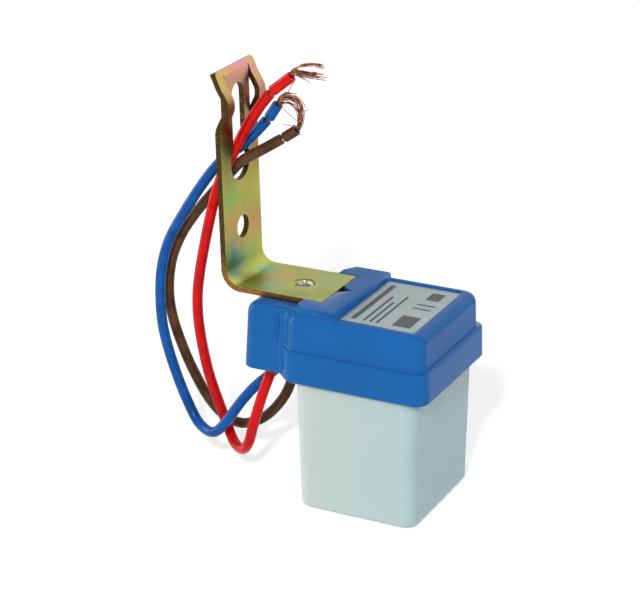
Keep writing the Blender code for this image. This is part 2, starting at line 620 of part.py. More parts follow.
def cut_holes(cap):
    """Screw hole, nut pocket, wire holes and the pointed flutes in the block's sides."""
    hole_radius = SCREW_RADIUS + FIT_GAP
    bottom = ROOF_Z - BOSS_LENGTH
    hole = turned([(hole_radius, bottom - CUT_PAST), (hole_radius, COLLAR_TOP)],
                  centre=(SCREW_X, 0.0))
    combine(cap, object_from_bmesh("screw_hole_cutter", hole, None), "DIFFERENCE")
    pocket_radius = (NUT_ACROSS_FLATS / 2 + FIT_GAP) / math.cos(math.pi / 6)
    pocket_top = bottom + NUT_THICKNESS + FIT_GAP
    pocket = turned([(pocket_radius, bottom - CUT_PAST), (pocket_radius, pocket_top)], steps=6,
                    centre=(SCREW_X, 0.0))
    combine(cap, object_from_bmesh("nut_pocket_cutter", pocket, None), "DIFFERENCE")
    exit_radius = WIRE_DIAMETER / 2 + FIT_GAP
    for index in (-1, 0, 1):
        place = (WIRE_EXIT_X, index * WIRE_PITCH)
        exit_hole = turned([(exit_radius, SKIRT_BOTTOM - CUT_PAST),
                            (exit_radius, SKIRT_BOTTOM + BLOCK_FLOOR + CUT_PAST)], 16, place)
        combine(cap, object_from_bmesh("wire_exit_cutter_%d" % (index + 2), exit_hole, None),
                "DIFFERENCE")
    flute_x = BLOCK_REAR_X + FLUTE_FROM_REAR
    flute_top = CAP_TOP - FLUTE_TOP_DROP
    for side in (-1, 1):
        place = (flute_x, side * (BLOCK_HALF_Y - BLOCK_DRAFT / 2))
        flute = turned([(FLUTE_TIP_RADIUS, flute_top - FLUTE_LENGTH),
                        (FLUTE_RADIUS, flute_top - FLUTE_LENGTH + FLUTE_POINT),
                        (FLUTE_RADIUS, flute_top - FLUTE_RADIUS),
                        (FLUTE_RADIUS * 0.6, flute_top)], 12, place)
        combine(cap, object_from_bmesh("flute_cutter_%d" % (side + 2), flute, None), "DIFFERENCE")


def build_cap(material):
    cap = object_from_bmesh("cap", cap_body(), material)
    combine(cap, object_from_bmesh("collar_block", collar_shape(), None), "UNION")
    cut_below_foot(cap)
    floor = CAP_TOP - LABEL_RECESS
    recess = loft([at_height(label_outline(0.0), floor),
                   at_height(label_outline(0.0), COLLAR_TOP + CUT_PAST)])
    combine(cap, object_from_bmesh("label_recess_cutter", recess, None), "DIFFERENCE")
    cut_inside(cap)
    add_bosses(cap)
    cut_holes(cap)
    return cap


def build_label(material):
    bottom = CAP_TOP - LABEL_RECESS + FIT_GAP
    outline = label_outline(FIT_GAP)
    label = loft([at_height(outline, bottom), at_height(outline, bottom + LABEL_THICKNESS)])
    return object_from_bmesh("rating_label", label, material)


def build_cover(material):
    """Open box: drafted walls, rounded bottom edge, and a thicker rim that fits the skirt."""
    rings = []
    for step in range(ARC_STEPS + 1):
        angle = math.pi / 2 * step / ARC_STEPS
        inset = COVER_EDGE_RADIUS * (1 - math.sin(angle))
        height = COVER_EDGE_RADIUS * (1 - math.cos(angle))
        outline = rounded_rectangle(COVER_BASE_HALF_X - inset, COVER_BASE_HALF_Y - inset,
                                    COVER_CORNER_RADIUS - inset)
        rings.append(at_height(outline, height))
    waist = SKIRT_BOTTOM + SKIRT_HEIGHT * 0.25
    rim_x = SKIRT_INNER_X - FIT_GAP
    rim_y = SKIRT_INNER_Y - FIT_GAP
    rim_radius = INNER_CORNER_RADIUS - FIT_GAP
    neck_x = COVER_BASE_HALF_X + COVER_DRAFT
    neck_y = COVER_BASE_HALF_Y + COVER_DRAFT
    rings.append(at_height(rounded_rectangle(neck_x, neck_y, COVER_CORNER_RADIUS), waist))
    rings.append(at_height(rounded_rectangle(rim_x, rim_y, rim_radius), waist + COVER_RIM_STEP))
    rings.append(at_height(rounded_rectangle(rim_x, rim_y, rim_radius), RIM_TOP))
    inner_radius = COVER_CORNER_RADIUS - COVER_WALL
    top_x = min(neck_x, rim_x) - COVER_WALL
    top_y = min(neck_y, rim_y) - COVER_WALL
    base_x = COVER_BASE_HALF_X - COVER_WALL
    base_y = COVER_BASE_HALF_Y - COVER_WALL
    rings.append(at_height(rounded_rectangle(top_x, top_y, inner_radius), RIM_TOP))
    rings.append(at_height(rounded_rectangle(base_x, base_y, inner_radius), COVER_WALL + COVER_INNER_EDGE))
    rings.append(at_height(rounded_rectangle(base_x - COVER_INNER_EDGE, base_y - COVER_INNER_EDGE,
                                             inner_radius - COVER_INNER_EDGE), COVER_WALL))
    return object_from_bmesh("light_cover", loft(rings), material)


def ease(share):
    share = min(max(share, 0.0), 1.0)
    return share * share * (3 - 2 * share)


def strip_point(distance, across):
    """A point of the strip's front face, from the distance along it and the place across it."""
    bend_angle = math.pi / 2 - LEG_LEAN
    leg_x = FOOT_END_X - FOOT_LENGTH
    bend_reach = BEND_RADIUS * math.tan(bend_angle / 2)
    straight = FOOT_LENGTH - bend_reach
    bend_length = BEND_RADIUS * bend_angle
    if distance <= straight:
        return Vector((FOOT_END_X - distance, across, FOOT_TOP))
    if distance <= straight + bend_length:
        angle = (distance - straight) / BEND_RADIUS
        return Vector((FOOT_END_X - straight - BEND_RADIUS * math.sin(angle), across,
                       FOOT_TOP + BEND_RADIUS * (1 - math.cos(angle))))
    up = distance - straight - bend_length
    bend_end = Vector((FOOT_END_X - straight - BEND_RADIUS * math.sin(bend_angle), across,
                       FOOT_TOP + BEND_RADIUS * (1 - math.cos(bend_angle))))
    height = bend_end.z - FOOT_TOP + up
    plate_start = STRIP_TOP_HEIGHT - TOP_PLATE_HEIGHT
    along_leg = min(height, plate_start) - (bend_end.z - FOOT_TOP)
    above = max(height - plate_start, 0.0)
    x = bend_end.x - along_leg * math.tan(LEG_LEAN) - above * math.tan(TOP_PLATE_LEAN)
    if abs(across) > STRIP_WIDTH / 2 - SIDE_STRIP_WIDTH - SHEAR_GAP / 2:
        bow_top = STRIP_TOP_HEIGHT - BOW_TOP_DROP
        share = (height - (bow_top - BOW_HEIGHT)) / BOW_HEIGHT
        if 0.0 < share < 1.0:
            x += BOW_DEPTH * ease(share / BOW_RISE) * ease((1 - share) / BOW_FALL)
    return Vector((x, across, FOOT_TOP + height))


def strip_rows():
    """Distances along the strip at which it gets a row of points, and the heights of its bow."""
    bend_angle = math.pi / 2 - LEG_LEAN
    straight = FOOT_LENGTH - BEND_RADIUS * math.tan(bend_angle / 2)
    bend_length = BEND_RADIUS * bend_angle
    bend_height = BEND_RADIUS * (1 - math.cos(bend_angle))
    rows = [0.0]
    rows += [straight + bend_length * step / BEND_STEPS for step in range(BEND_STEPS + 1)]
    base = straight + bend_length - bend_height
    bow_top = STRIP_TOP_HEIGHT - BOW_TOP_DROP
    bow_bottom = bow_top - BOW_HEIGHT
    rows += [base + bow_bottom + BOW_HEIGHT * step / BOW_STEPS for step in range(BOW_STEPS + 1)]
    rows.append(base + STRIP_TOP_HEIGHT)
    return rows, base + bow_bottom, base + bow_top


def keyhole_outline():
    """Wire hole with the slot above it, as (across, height) pairs."""
    centre = FOOT_TOP + WIRE_HOLE_HEIGHT
    neck = math.asin(SLOT_HALF_WIDTH / WIRE_HOLE_RADIUS)
    top = FOOT_TOP + SLOT_TOP_HEIGHT - SLOT_HALF_WIDTH
    start = math.pi / 2 + neck
    outline = arc_points(0.0, centre, WIRE_HOLE_RADIUS, start, start + 2 * math.pi - 2 * neck, 26)
    outline += arc_points(0.0, top, SLOT_HALF_WIDTH, 0.0, math.pi, 12)
    return outline


def build_bracket(material):
    edge = STRIP_WIDTH / 2
    inner = edge - SIDE_STRIP_WIDTH
    columns = [-edge, -inner, -inner + SHEAR_GAP, inner - SHEAR_GAP, inner, edge]
    shear_columns = (1, 3)
    rows, bow_start, bow_end = strip_rows()
    shape = bmesh.new()
    grid = [[shape.verts.new(strip_point(row, column)) for column in columns] for row in rows]
    tolerance = ROW_TOLERANCE
    for index in range(len(rows) - 1):
        sheared = rows[index] > bow_start - tolerance and rows[index + 1] < bow_end + tolerance
        for column in range(len(columns) - 1):
            if sheared and column in shear_columns:
                continue
            shape.faces.new((grid[index][column], grid[index][column + 1],
                             grid[index + 1][column + 1], grid[index + 1][column]))
    mesh = bpy.data.meshes.new("mounting_bracket")
    shape.to_mesh(mesh)
    shape.free()
    mesh.shade_smooth()
    mesh.set_sharp_from_angle(angle=math.radians(32))
    bracket = add_object("mounting_bracket", mesh, material)
    sheet = bracket.modifiers.new("Sheet thickness", "SOLIDIFY")
    sheet.thickness = STRIP_THICKNESS
    sheet.offset = -1.0
    sheet.use_even_offset = True
    cut_bracket(bracket)
    return bracket


def cut_bracket(bracket):
    """Countersink in the foot, round hole, keyhole and the rounded corners of the top edge."""
    leg_x = FOOT_END_X - FOOT_LENGTH
    lean = STRIP_TOP_HEIGHT * math.tan(LEG_LEAN) + TOP_PLATE_HEIGHT * math.tan(TOP_PLATE_LEAN)
    near_x = leg_x + CUT_PAST
    far_x = leg_x - lean - STRIP_THICKNESS - CUT_PAST
    slope = (SCREW_HEAD_RADIUS - SCREW_RADIUS) / SCREW_HEAD_DEPTH
    shank = SCREW_RADIUS + FIT_GAP
    mouth = SCREW_HEAD_RADIUS + FIT_GAP + slope * SCREW_HEAD_SINK
    sink = turned([(shank, FOOT_BOTTOM - CUT_PAST), (shank, FOOT_TOP - (mouth - shank) / slope),
                   (mouth, FOOT_TOP), (mouth, FOOT_TOP + CUT_PAST)], centre=(SCREW_X, 0.0))
    combine(bracket, object_from_bmesh("countersink_cutter", sink, None), "DIFFERENCE")
    lower = arc_points(0.0, FOOT_TOP + LOWER_HOLE_HEIGHT, LOWER_HOLE_RADIUS, 0.0,
                       2 * math.pi * (1 - 1 / ROUND_STEPS), ROUND_STEPS - 1)
    for name, outline in (("lower_hole_cutter", lower), ("keyhole_cutter", keyhole_outline())):
        hole = loft([[Vector((x, y, z)) for y, z in outline] for x in (far_x, near_x)])
        combine(bracket, object_from_bmesh(name, hole, None), "DIFFERENCE")
    top = FOOT_TOP + STRIP_TOP_HEIGHT
    for side in (-1, 1):
        corner = TOP_CORNER_RADIUS
        edge = side * STRIP_WIDTH / 2
        centre_y = edge - side * corner
        outside = CUT_PAST * 2
        outline = [(centre_y + side * corner * math.sin(math.pi / 2 * step / 4),
                    top - corner + corner * math.cos(math.pi / 2 * step / 4)) for step in range(5)]
        outline += [(edge + side * outside, top - corner), (edge + side * outside, top + outside),
                    (centre_y, top + outside)]
        scrap = loft([[Vector((x, y, z)) for y, z in outline] for x in (far_x, near_x)])
        combine(bracket, object_from_bmesh("corner_cutter_%d" % (side + 2), scrap, None),
                "DIFFERENCE")


def build_screw(material):
    head_top = FOOT_TOP - SCREW_HEAD_SINK
    neck = head_top - SCREW_HEAD_DEPTH
    tip = FOOT_TOP - SCREW_LENGTH
    profile = [(SCREW_RADIUS * 0.75, tip), (SCREW_RADIUS, tip + SCREW_RADIUS * 0.3), (SCREW_RADIUS, neck),
               (SCREW_HEAD_RADIUS - SCREW_HEAD_EDGE, head_top - SCREW_HEAD_EDGE),
               (SCREW_HEAD_RADIUS - SCREW_HEAD_EDGE * 0.7, head_top)]
    steps = 4
    for step in range(1, steps):
        angle = math.pi / 2 * step / steps
        profile.append((SCREW_HEAD_RADIUS * math.cos(angle), head_top + SCREW_DOME * math.sin(angle)))
    screw = object_from_bmesh("bracket_screw", turned(profile, centre=(SCREW_X, 0.0)), material)
    bottom = head_top + SCREW_DOME - RECESS_DEPTH
    top = head_top + CUT_PAST * 2
    half = RECESS_LENGTH / 2
    arm = RECESS_WIDTH / 2
    outline = [(half, -arm), (half, arm), (arm, arm), (arm, half), (-arm, half), (-arm, arm),
               (-half, arm), (-half, -arm), (-arm, -arm), (-arm, -half), (arm, -half), (arm, -arm)]
    turn = math.radians(25)
    turned_outline = [(SCREW_X + x * math.cos(turn) - y * math.sin(turn),
                       x * math.sin(turn) + y * math.cos(turn)) for x, y in outline]
    recess = loft([at_height(turned_outline, bottom), at_height(turned_outline, top)])
    combine(screw, object_from_bmesh("cross_recess_cutter", recess, None), "DIFFERENCE")
    return screw


def build_nut(material):
    bottom = ROOF_Z - BOSS_LENGTH
    radius = NUT_ACROSS_FLATS / 2 / math.cos(math.pi / 6)
    nut = object_from_bmesh("captive_nut", turned([(radius, bottom), (radius, bottom + NUT_THICKNESS)],
                                                  steps=6, centre=(SCREW_X, 0.0)), material)
    bore_radius = SCREW_RADIUS + FIT_GAP
    bore = turned([(bore_radius, bottom - CUT_PAST), (bore_radius, bottom + NUT_THICKNESS + CUT_PAST)],
                  centre=(SCREW_X, 0.0))
    combine(nut, object_from_bmesh("nut_bore_cutter", bore, None), "DIFFERENCE")
    return nut


def build_seal(material):
    """Cast seal over the inner side of the wire exits."""
    rear = BLOCK_INNER_REAR + FIT_GAP
    front = WIRE_EXIT_X + WIRE_DIAMETER / 2 + FIT_GAP + SEAL_FRONT_MARGIN
    side = BLOCK_INNER_HALF_Y - FIT_GAP
    seal = object_from_bmesh("sealing_compound", block_shape(
        (rear, -side, SEAL_BOTTOM), (front, side, SEAL_BOTTOM + SEAL_THICKNESS), SEAL_EDGE), material)
    hole_radius = WIRE_DIAMETER / 2 + FIT_GAP
    for index in (-1, 0, 1):
        place = (WIRE_EXIT_X, index * WIRE_PITCH)
        hole = turned([(hole_radius, SEAL_BOTTOM - CUT_PAST),
                       (hole_radius, SEAL_BOTTOM + SEAL_THICKNESS + CUT_PAST)], 16, place)
        combine(seal, object_from_bmesh("seal_hole_cutter_%d" % (index + 2), hole, None), "DIFFERENCE")
    return seal


def build_wires(materials, copper):
    for side, name in ((-1, "red"), (0, "blue"), (1, "brown")):
        insulation = materials[name]
        tube_along(name + "_wire", in_metres(WIRE_ROUTES[name]), WIRE_DIAMETER, insulation)
        tube_along(name + "_insulation_slug", in_metres(SLUG_ROUTES[name]), WIRE_DIAMETER, insulation)
        tube_along(name + "_lead", lead_route(side), WIRE_DIAMETER, insulation)
        build_strands(name + "_copper_strands", in_metres(STRAND_ROUTES[name]), copper)


def build_strands(name, route, material):
    """A bunch of fine strands as one flattened brush that widens to its end."""
    points = smooth_route(route, STRAND_POINT_SPACING)
    rings = []
    for index, point in enumerate(points):
        ahead = points[min(index + 1, len(points) - 1)]
        behind = points[max(index - 1, 0)]
        along = (ahead - behind).normalized()
        across = along.cross(Vector((0.0, 0.0, 1.0))).normalized()
        upward = across.cross(along)
        share = index / (len(points) - 1)
        wide = STRAND_RADIUS * (0.9 + 0.9 * share)
        thin = STRAND_RADIUS * (0.9 - 0.3 * share)
        ring = []
        for step in range(10):
            angle = 2 * math.pi * step / 10
            ring.append(point + upward * wide * math.cos(angle) + across * thin * math.sin(angle))
        rings.append(ring)
    return object_from_bmesh(name, loft(rings), material)


def lead_route(side):
    """From an exit hole straight up through the seal, then over to the board's rear edge.

    side is -1, 0 or 1.  The middle lead swings round the screw boss, and the one beyond it runs
    midway between that lead and the block's wall.
    """
    exit_y = side * WIRE_PITCH
    swing_y = BOSS_RADIUS + WIRE_DIAMETER / 2 + BOSS_CLEARANCE
    outer_y = (swing_y + WIRE_DIAMETER / 2 + BLOCK_INNER_HALF_Y) / 2
    pass_y = {-1: exit_y, 0: swing_y, 1: outer_y}[side]
    end_y = side * LEAD_END_PITCH
    board_rear = -BOARD_HALF_X
    straight_end = SEAL_BOTTOM + SEAL_THICKNESS + LEAD_STRAIGHT_PAST
    over = BOARD_TOP + LEAD_OVER_BOARD
    end = BOARD_TOP + LEAD_END_OVER_BOARD
    step = (over - straight_end) / 2
    between_y = (exit_y + pass_y) / 2
    return [
        (WIRE_EXIT_X, exit_y, WIRE_START_Z + FIT_GAP),
        (WIRE_EXIT_X, exit_y, (WIRE_START_Z + straight_end) / 2),
        (WIRE_EXIT_X, exit_y, straight_end),
        (WIRE_EXIT_X + step * 0.3, between_y, straight_end + step * 0.9),
        (WIRE_EXIT_X + step * 0.9, pass_y - (pass_y - exit_y) * 0.12, straight_end + step * 1.4),
        (SCREW_X + step * 0.2, pass_y, over - step * 0.1),
        (board_rear - step * 0.6, pass_y + (end_y - pass_y) * 0.3, over),
        (board_rear + step * 0.5, end_y, over),
        (board_rear + step * 1.2, end_y, end),
    ]


def with_pins(name, shape, material, places, root):
    """An electronic part whose pins stand up from height root, through the board."""
    part = object_from_bmesh(name, shape, material)
    for index, place in enumerate(places):
        pin = turned([(PIN_RADIUS, root), (PIN_RADIUS, BOARD_TOP + PIN_STAND_OUT)], 8, place)
        combine(part, object_from_bmesh("%s_pin_%d" % (name, index + 1), pin, None), "UNION")
        board_holes.append(place)
    return part


def build_relay(case_material, base_material, copper, steel):
    """Relay: a base with pins, a case over it, and its magnet inside."""
    rear, front = FRONT_ZONE_X, ROOM_HALF_X
    side, middle = -ROOM_HALF_Y, -MIDDLE_GAP / 2
    top = BOARD_BOTTOM - FIT_GAP
    low = top - RELAY_HEIGHT
    case = object_from_bmesh("relay_case", block_shape(
        (rear, side, low), (front, middle, top), RELAY_EDGE), case_material)
    hollow = block_shape((rear + RELAY_WALL, side + RELAY_WALL, low + RELAY_WALL),
                         (front - RELAY_WALL, middle - RELAY_WALL, top + CUT_PAST))
    combine(case, object_from_bmesh("relay_hollow_cutter", hollow, None), "DIFFERENCE")
    inside = RELAY_WALL + FIT_GAP
    base_low = top - RELAY_BASE_HEIGHT
    base = block_shape((rear + inside, side + inside, base_low),
                       (front - inside, middle - inside, top), RELAY_EDGE / 2)
    pin_rear = rear + inside + RELAY_PIN_INSET
    pin_front = front - inside - RELAY_PIN_INSET
    pin_side = side + inside + RELAY_PIN_INSET
    pin_middle = middle - inside - RELAY_PIN_INSET
    pins = [(pin_rear, pin_side), (pin_rear, pin_middle), (pin_rear, (side + middle) / 2),
            (pin_front, pin_side), (pin_front, pin_middle)]
    with_pins("relay_base", base, base_material, pins, base_low + RELAY_BASE_HEIGHT / 2)
    build_magnet(rear + inside, front - inside, (side + middle) / 2, base_low - FIT_GAP, copper, steel)


def build_magnet(rear, front, middle_y, top, copper, steel):
    """The relay's magnet lies along X: a coil on a core, an angled yoke, and an armature in front."""
    axis_z = top - YOKE_THICKNESS - FIT_GAP - COIL_RADIUS
    low = axis_z - COIL_RADIUS
    half_y = COIL_RADIUS * 0.9
    coil_rear = rear + YOKE_THICKNESS + FIT_GAP
    armature_front = front - CONTACT_SPACE
    armature_rear = armature_front - ARMATURE_THICKNESS
    coil_front = armature_rear - FIT_GAP
    coil = cylinder_along("relay_coil", (coil_rear, middle_y, axis_z), (coil_front, middle_y, axis_z),
                          COIL_RADIUS, copper)
    bore = cylinder_along("coil_bore_cutter", (coil_rear - CUT_PAST, middle_y, axis_z),
                          (coil_front + CUT_PAST, middle_y, axis_z), CORE_RADIUS + FIT_GAP, None, 16)
    combine(coil, bore, "DIFFERENCE")
    yoke = object_from_bmesh("relay_yoke", block_shape(
        (rear, middle_y - half_y, top - YOKE_THICKNESS), (coil_front, middle_y + half_y, top)), steel)
    upright = block_shape((rear, middle_y - half_y, low),
                          (rear + YOKE_THICKNESS, middle_y + half_y, top))
    combine(yoke, object_from_bmesh("yoke_upright", upright, None), "UNION")
    core = cylinder_along("yoke_core", (rear + YOKE_THICKNESS / 2, middle_y, axis_z),
                          (coil_front, middle_y, axis_z), CORE_RADIUS, None, 16)
    combine(yoke, core, "UNION")
    armature = block_shape((armature_rear, middle_y - half_y, low),
                           (armature_front, middle_y + half_y, top), ARMATURE_THICKNESS * 0.15)
    object_from_bmesh("relay_armature", armature, steel)


def build_capacitors(film_material, can_material):
    top = BOARD_BOTTOM - FIT_GAP
    rear = FRONT_ZONE_X + CAPACITOR_REAR_GAP
    side = ROOM_HALF_Y - RESISTOR_ZONE
    film = block_shape((rear, CAPACITOR_GAP, top - FILM_CAPACITOR_HEIGHT), (ROOM_HALF_X, side, top),
                       FILM_CAPACITOR_EDGE)
    middle_y = (CAPACITOR_GAP + side) / 2
    pin_places = [(rear + CAPACITOR_PIN_INSET, middle_y),
                  (ROOM_HALF_X - CAPACITOR_PIN_INSET, middle_y)]
    with_pins("film_capacitor", film, film_material, pin_places, top - FILM_CAPACITOR_EDGE)
    radius = FILTER_CAPACITOR_RADIUS
    low = top - FILTER_CAPACITOR_HEIGHT
    x = -ROOM_HALF_X + radius
    y = ROOM_HALF_Y - radius
    edge = radius * 0.12
    groove = top - radius * 0.45
    can = turned([(radius - edge, low), (radius, low + edge), (radius, groove - edge),
                  (radius - edge, groove), (radius, groove + edge), (radius, top - edge / 2),
                  (radius - edge / 2, top)], centre=(x, y))
    with_pins("filter_capacitor", can, can_material,
              [(x - FILTER_PIN_REACH, y), (x + FILTER_PIN_REACH, y)], top - edge * 2)


def build_axial(name, centre, radius, length, material, turn=0.0):
    """A part with a lead at each end, lying under the board, with the leads bent up through it."""
    half = length / 2
    height = BOARD_BOTTOM - FIT_GAP - radius
    shoulder = radius * 0.3
    shape = turned([(radius - shoulder / 2, -half), (radius, -half + shoulder),
                    (radius, half - shoulder), (radius - shoulder / 2, half)], 12)
    lie_down = Matrix.Rotation(math.pi / 2, 4, "Y")
    place = Matrix.Translation((centre[0], centre[1], height)) @ Matrix.Rotation(turn, 4, "Z")
    bmesh.ops.transform(shape, matrix=place @ lie_down, verts=shape.verts)
    part = object_from_bmesh(name, shape, material)
    direction = Vector((math.cos(turn), math.sin(turn)))
    for index, side in enumerate((-1, 1)):
        start = Vector(centre) + direction * side * (half - shoulder)
        end = Vector(centre) + direction * side * (half + AXIAL_LEAD_REACH)
        past_bend = end + direction * side * PIN_RADIUS * 0.5
        lead = cylinder_along("%s_lead_%d" % (name, index + 1), (*start, height),
                              (*past_bend, height), PIN_RADIUS * 0.9, None, 8)
        combine(part, lead, "UNION")
        pin = turned([(PIN_RADIUS, height - PIN_RADIUS), (PIN_RADIUS, BOARD_TOP + PIN_STAND_OUT)],
                     8, end)
        combine(part, object_from_bmesh("%s_pin_%d" % (name, index + 1), pin, None), "UNION")
        board_holes.append(tuple(end))
    return part


def build_small_parts(bridge_material, zener_material, resistor_material):
    """Bridge rectifier and zener diode in the rear zone, resistors along the front zone's side."""
    top = BOARD_BOTTOM - FIT_GAP
    x = -ROOM_HALF_X + REAR_ZONE / 2 - BRIDGE_SHIFT
    y = BRIDGE_CENTRE_Y
    bridge = block_shape((x - BRIDGE_LENGTH / 2, y - BRIDGE_WIDTH / 2, top - BRIDGE_HEIGHT),
                         (x + BRIDGE_LENGTH / 2, y + BRIDGE_WIDTH / 2, top), BRIDGE_HEIGHT * 0.12)
    half_pitch = BRIDGE_PIN_PITCH / 2
    pins = [(x + side * half_pitch, y + other * half_pitch) for side in (-1, 1) for other in (-1, 1)]
    with_pins("bridge_rectifier", bridge, bridge_material, pins, top - BRIDGE_HEIGHT / 2)
    zener_place = Vector((FRONT_ZONE_X - ZENER_FROM_RELAY, -ROOM_HALF_Y + ZENER_FROM_SIDE))
    build_axial("zener_diode", zener_place, ZENER_RADIUS, ZENER_LENGTH, zener_material, math.pi / 2)
    row_rear = -ROOM_HALF_X + FILTER_CAPACITOR_RADIUS * 2
    for index in range(RESISTOR_COUNT):
        place = Vector(((row_rear + ROOM_HALF_X) / 2,
                        ROOM_HALF_Y - RESISTOR_RADIUS - RESISTOR_PITCH * index))
        build_axial("resistor_%d" % (index + 1), place, RESISTOR_RADIUS, RESISTOR_LENGTH,
                    resistor_material)


def build_sensor(disc_material):
    """Light sensor: a disc on two long pins, looking down through the cover."""
    top = BOARD_BOTTOM - FIT_GAP - SENSOR_DROP
    low = top - SENSOR_THICKNESS
    x = -ROOM_HALF_X + SENSOR_FROM_REAR
    y = -ROOM_HALF_Y + SENSOR_FROM_SIDE
    edge = SENSOR_THICKNESS * 0.15
    disc = turned([(SENSOR_RADIUS - edge, low), (SENSOR_RADIUS, low + edge), (SENSOR_RADIUS, top)],
                  centre=(x, y))
    places = [(x + side * SENSOR_PIN_REACH, y) for side in (-1, 1)]
    with_pins("light_sensor", disc, disc_material, places, top - SENSOR_THICKNESS / 2)


def build_board(material):
    outline = rounded_rectangle(BOARD_HALF_X, BOARD_HALF_Y, INNER_CORNER_RADIUS - FIT_GAP)
    board = object_from_bmesh("circuit_board", loft([at_height(outline, BOARD_BOTTOM),
                                                     at_height(outline, BOARD_TOP)]), material)
    holes = [turned([(PIN_HOLE_RADIUS, BOARD_BOTTOM - CUT_PAST), (PIN_HOLE_RADIUS, BOARD_TOP + CUT_PAST)],
                    8, place) for place in board_holes]
    combine(board, object_from_bmesh("board_hole_cutters", join_shapes(holes), None), "DIFFERENCE")
    return board


def place_under_bracket():
    """Sets the middle of the cover's bottom where it lies from the back of the bracket's leg."""
    carrier = bpy.data.objects.new("photocell_switch", None)
    bpy.context.scene.collection.objects.link(carrier)
    for piece in list(bpy.context.scene.objects):
        if piece is not carrier:
            piece.parent = carrier
    carrier.location = COVER_PLACE


def main():
    clear_scene()
    blue_plastic = make_material("blue_moulded_plastic", (0.02, 0.14, 0.42), 0.25)
    milky_plastic = make_material("milky_cover_plastic", (0.62, 0.70, 0.68), 0.35)
    label_film = make_material("silver_label_film", (0.42, 0.48, 0.47), 0.4)
    plated_steel = make_material("yellow_passivated_steel", (0.42, 0.38, 0.12), 0.35, 1.0)
    zinc_steel = make_material("zinc_plated_steel", (0.6, 0.6, 0.58), 0.3, 1.0)
    copper = make_material("bare_copper", (0.7, 0.3, 0.15), 0.35, 1.0)
    insulation = {
        "red": make_material("red_pvc", (0.75, 0.01, 0.01), 0.4),
        "blue": make_material("blue_pvc", (0.01, 0.08, 0.4), 0.4),
        "brown": make_material("brown_pvc", (0.1, 0.05, 0.02), 0.4),
    }
    black_plastic = make_material("black_moulded_plastic", (0.02, 0.02, 0.022), 0.45)
    board_laminate = make_material("board_laminate", (0.30, 0.22, 0.08), 0.5)
    sensor_disc = make_material("sensor_disc", (0.55, 0.25, 0.08), 0.3)
    resistor_body = make_material("resistor_body", (0.45, 0.35, 0.2), 0.5)
    film_case = make_material("film_capacitor_case", (0.45, 0.1, 0.04), 0.4)
    seal_resin = make_material("seal_resin", (0.05, 0.05, 0.05), 0.5)

    build_cap(blue_plastic)
    build_cover(milky_plastic)
    build_label(label_film)
    build_bracket(plated_steel)
    build_screw(zinc_steel)
    build_nut(zinc_steel)
    build_seal(seal_resin)
    build_wires(insulation, copper)
    build_relay(black_plastic, black_plastic, copper, zinc_steel)
    build_capacitors(film_case, black_plastic)
    build_small_parts(black_plastic, sensor_disc, resistor_body)
    build_sensor(sensor_disc)
    build_board(board_laminate)
    place_under_bracket()


main()
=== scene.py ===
import math
import random
import bmesh
import bpy
from mathutils import Matrix, Vector


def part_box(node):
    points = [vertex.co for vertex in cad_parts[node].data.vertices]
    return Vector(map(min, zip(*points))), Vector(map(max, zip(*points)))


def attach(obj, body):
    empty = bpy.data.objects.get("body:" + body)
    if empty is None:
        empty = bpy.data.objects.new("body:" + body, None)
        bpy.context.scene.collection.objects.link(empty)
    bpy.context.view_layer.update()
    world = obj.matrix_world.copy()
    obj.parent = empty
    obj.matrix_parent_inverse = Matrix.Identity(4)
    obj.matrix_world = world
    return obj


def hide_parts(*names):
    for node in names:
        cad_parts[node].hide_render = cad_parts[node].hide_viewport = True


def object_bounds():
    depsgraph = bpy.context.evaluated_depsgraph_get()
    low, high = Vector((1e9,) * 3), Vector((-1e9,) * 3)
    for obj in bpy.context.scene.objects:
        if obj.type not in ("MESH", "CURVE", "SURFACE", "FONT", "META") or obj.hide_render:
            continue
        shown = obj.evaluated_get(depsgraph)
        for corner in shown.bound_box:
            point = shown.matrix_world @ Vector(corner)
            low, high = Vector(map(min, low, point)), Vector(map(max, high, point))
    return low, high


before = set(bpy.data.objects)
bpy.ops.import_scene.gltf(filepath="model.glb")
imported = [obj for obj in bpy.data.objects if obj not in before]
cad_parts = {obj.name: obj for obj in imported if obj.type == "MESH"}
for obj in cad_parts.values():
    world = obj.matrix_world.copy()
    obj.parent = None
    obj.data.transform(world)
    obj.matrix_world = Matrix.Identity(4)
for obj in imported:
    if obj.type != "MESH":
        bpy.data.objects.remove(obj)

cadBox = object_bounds()
mm = 0.001
mergeWithin = 0.005 * mm                       # corners closer than this are one
coverFoot = Vector((0.0429001, 0.0, -0.074))   # middle of the cover's bottom; places are in mm from it


def place(x, y, z):
    return Vector((x, y, z)) * mm + coverFoot


def placeAll(route):
    return [place(*point) for point in route]


def hexColour(text):
    channels = [int(text[i:i + 2], 16) / 255 for i in (1, 3, 5)]
    linear = [c / 12.92 if c <= 0.04045 else ((c + 0.055) / 1.055) ** 2.4 for c in channels]
    return (*linear, 1.0)


def addNode(material, kind, settings=None, sockets=None, stops=None, feeds=None):
    # adds a node; a socket takes a value or another node's output, stops fill a colour ramp,
    # and feeds says which socket each output goes to
    node = material.node_tree.nodes.new(kind)
    for name, value in (settings or {}).items():
        setattr(node, name, value)
    for name, value in (sockets or {}).items():
        if isinstance(value, bpy.types.NodeSocket):
            material.node_tree.links.new(value, node.inputs[name])
        else:
            node.inputs[name].default_value = value
    if stops:
        elements = node.color_ramp.elements
        elements.remove(elements[-1])
        elements[0].position, elements[0].color = stops[0][0], hexColour(stops[0][1])
        for position, colour in stops[1:]:
            elements.new(position).color = hexColour(colour)
    for name, socket in (feeds or {}).items():
        material.node_tree.links.new(node.outputs[name], socket)
    return node


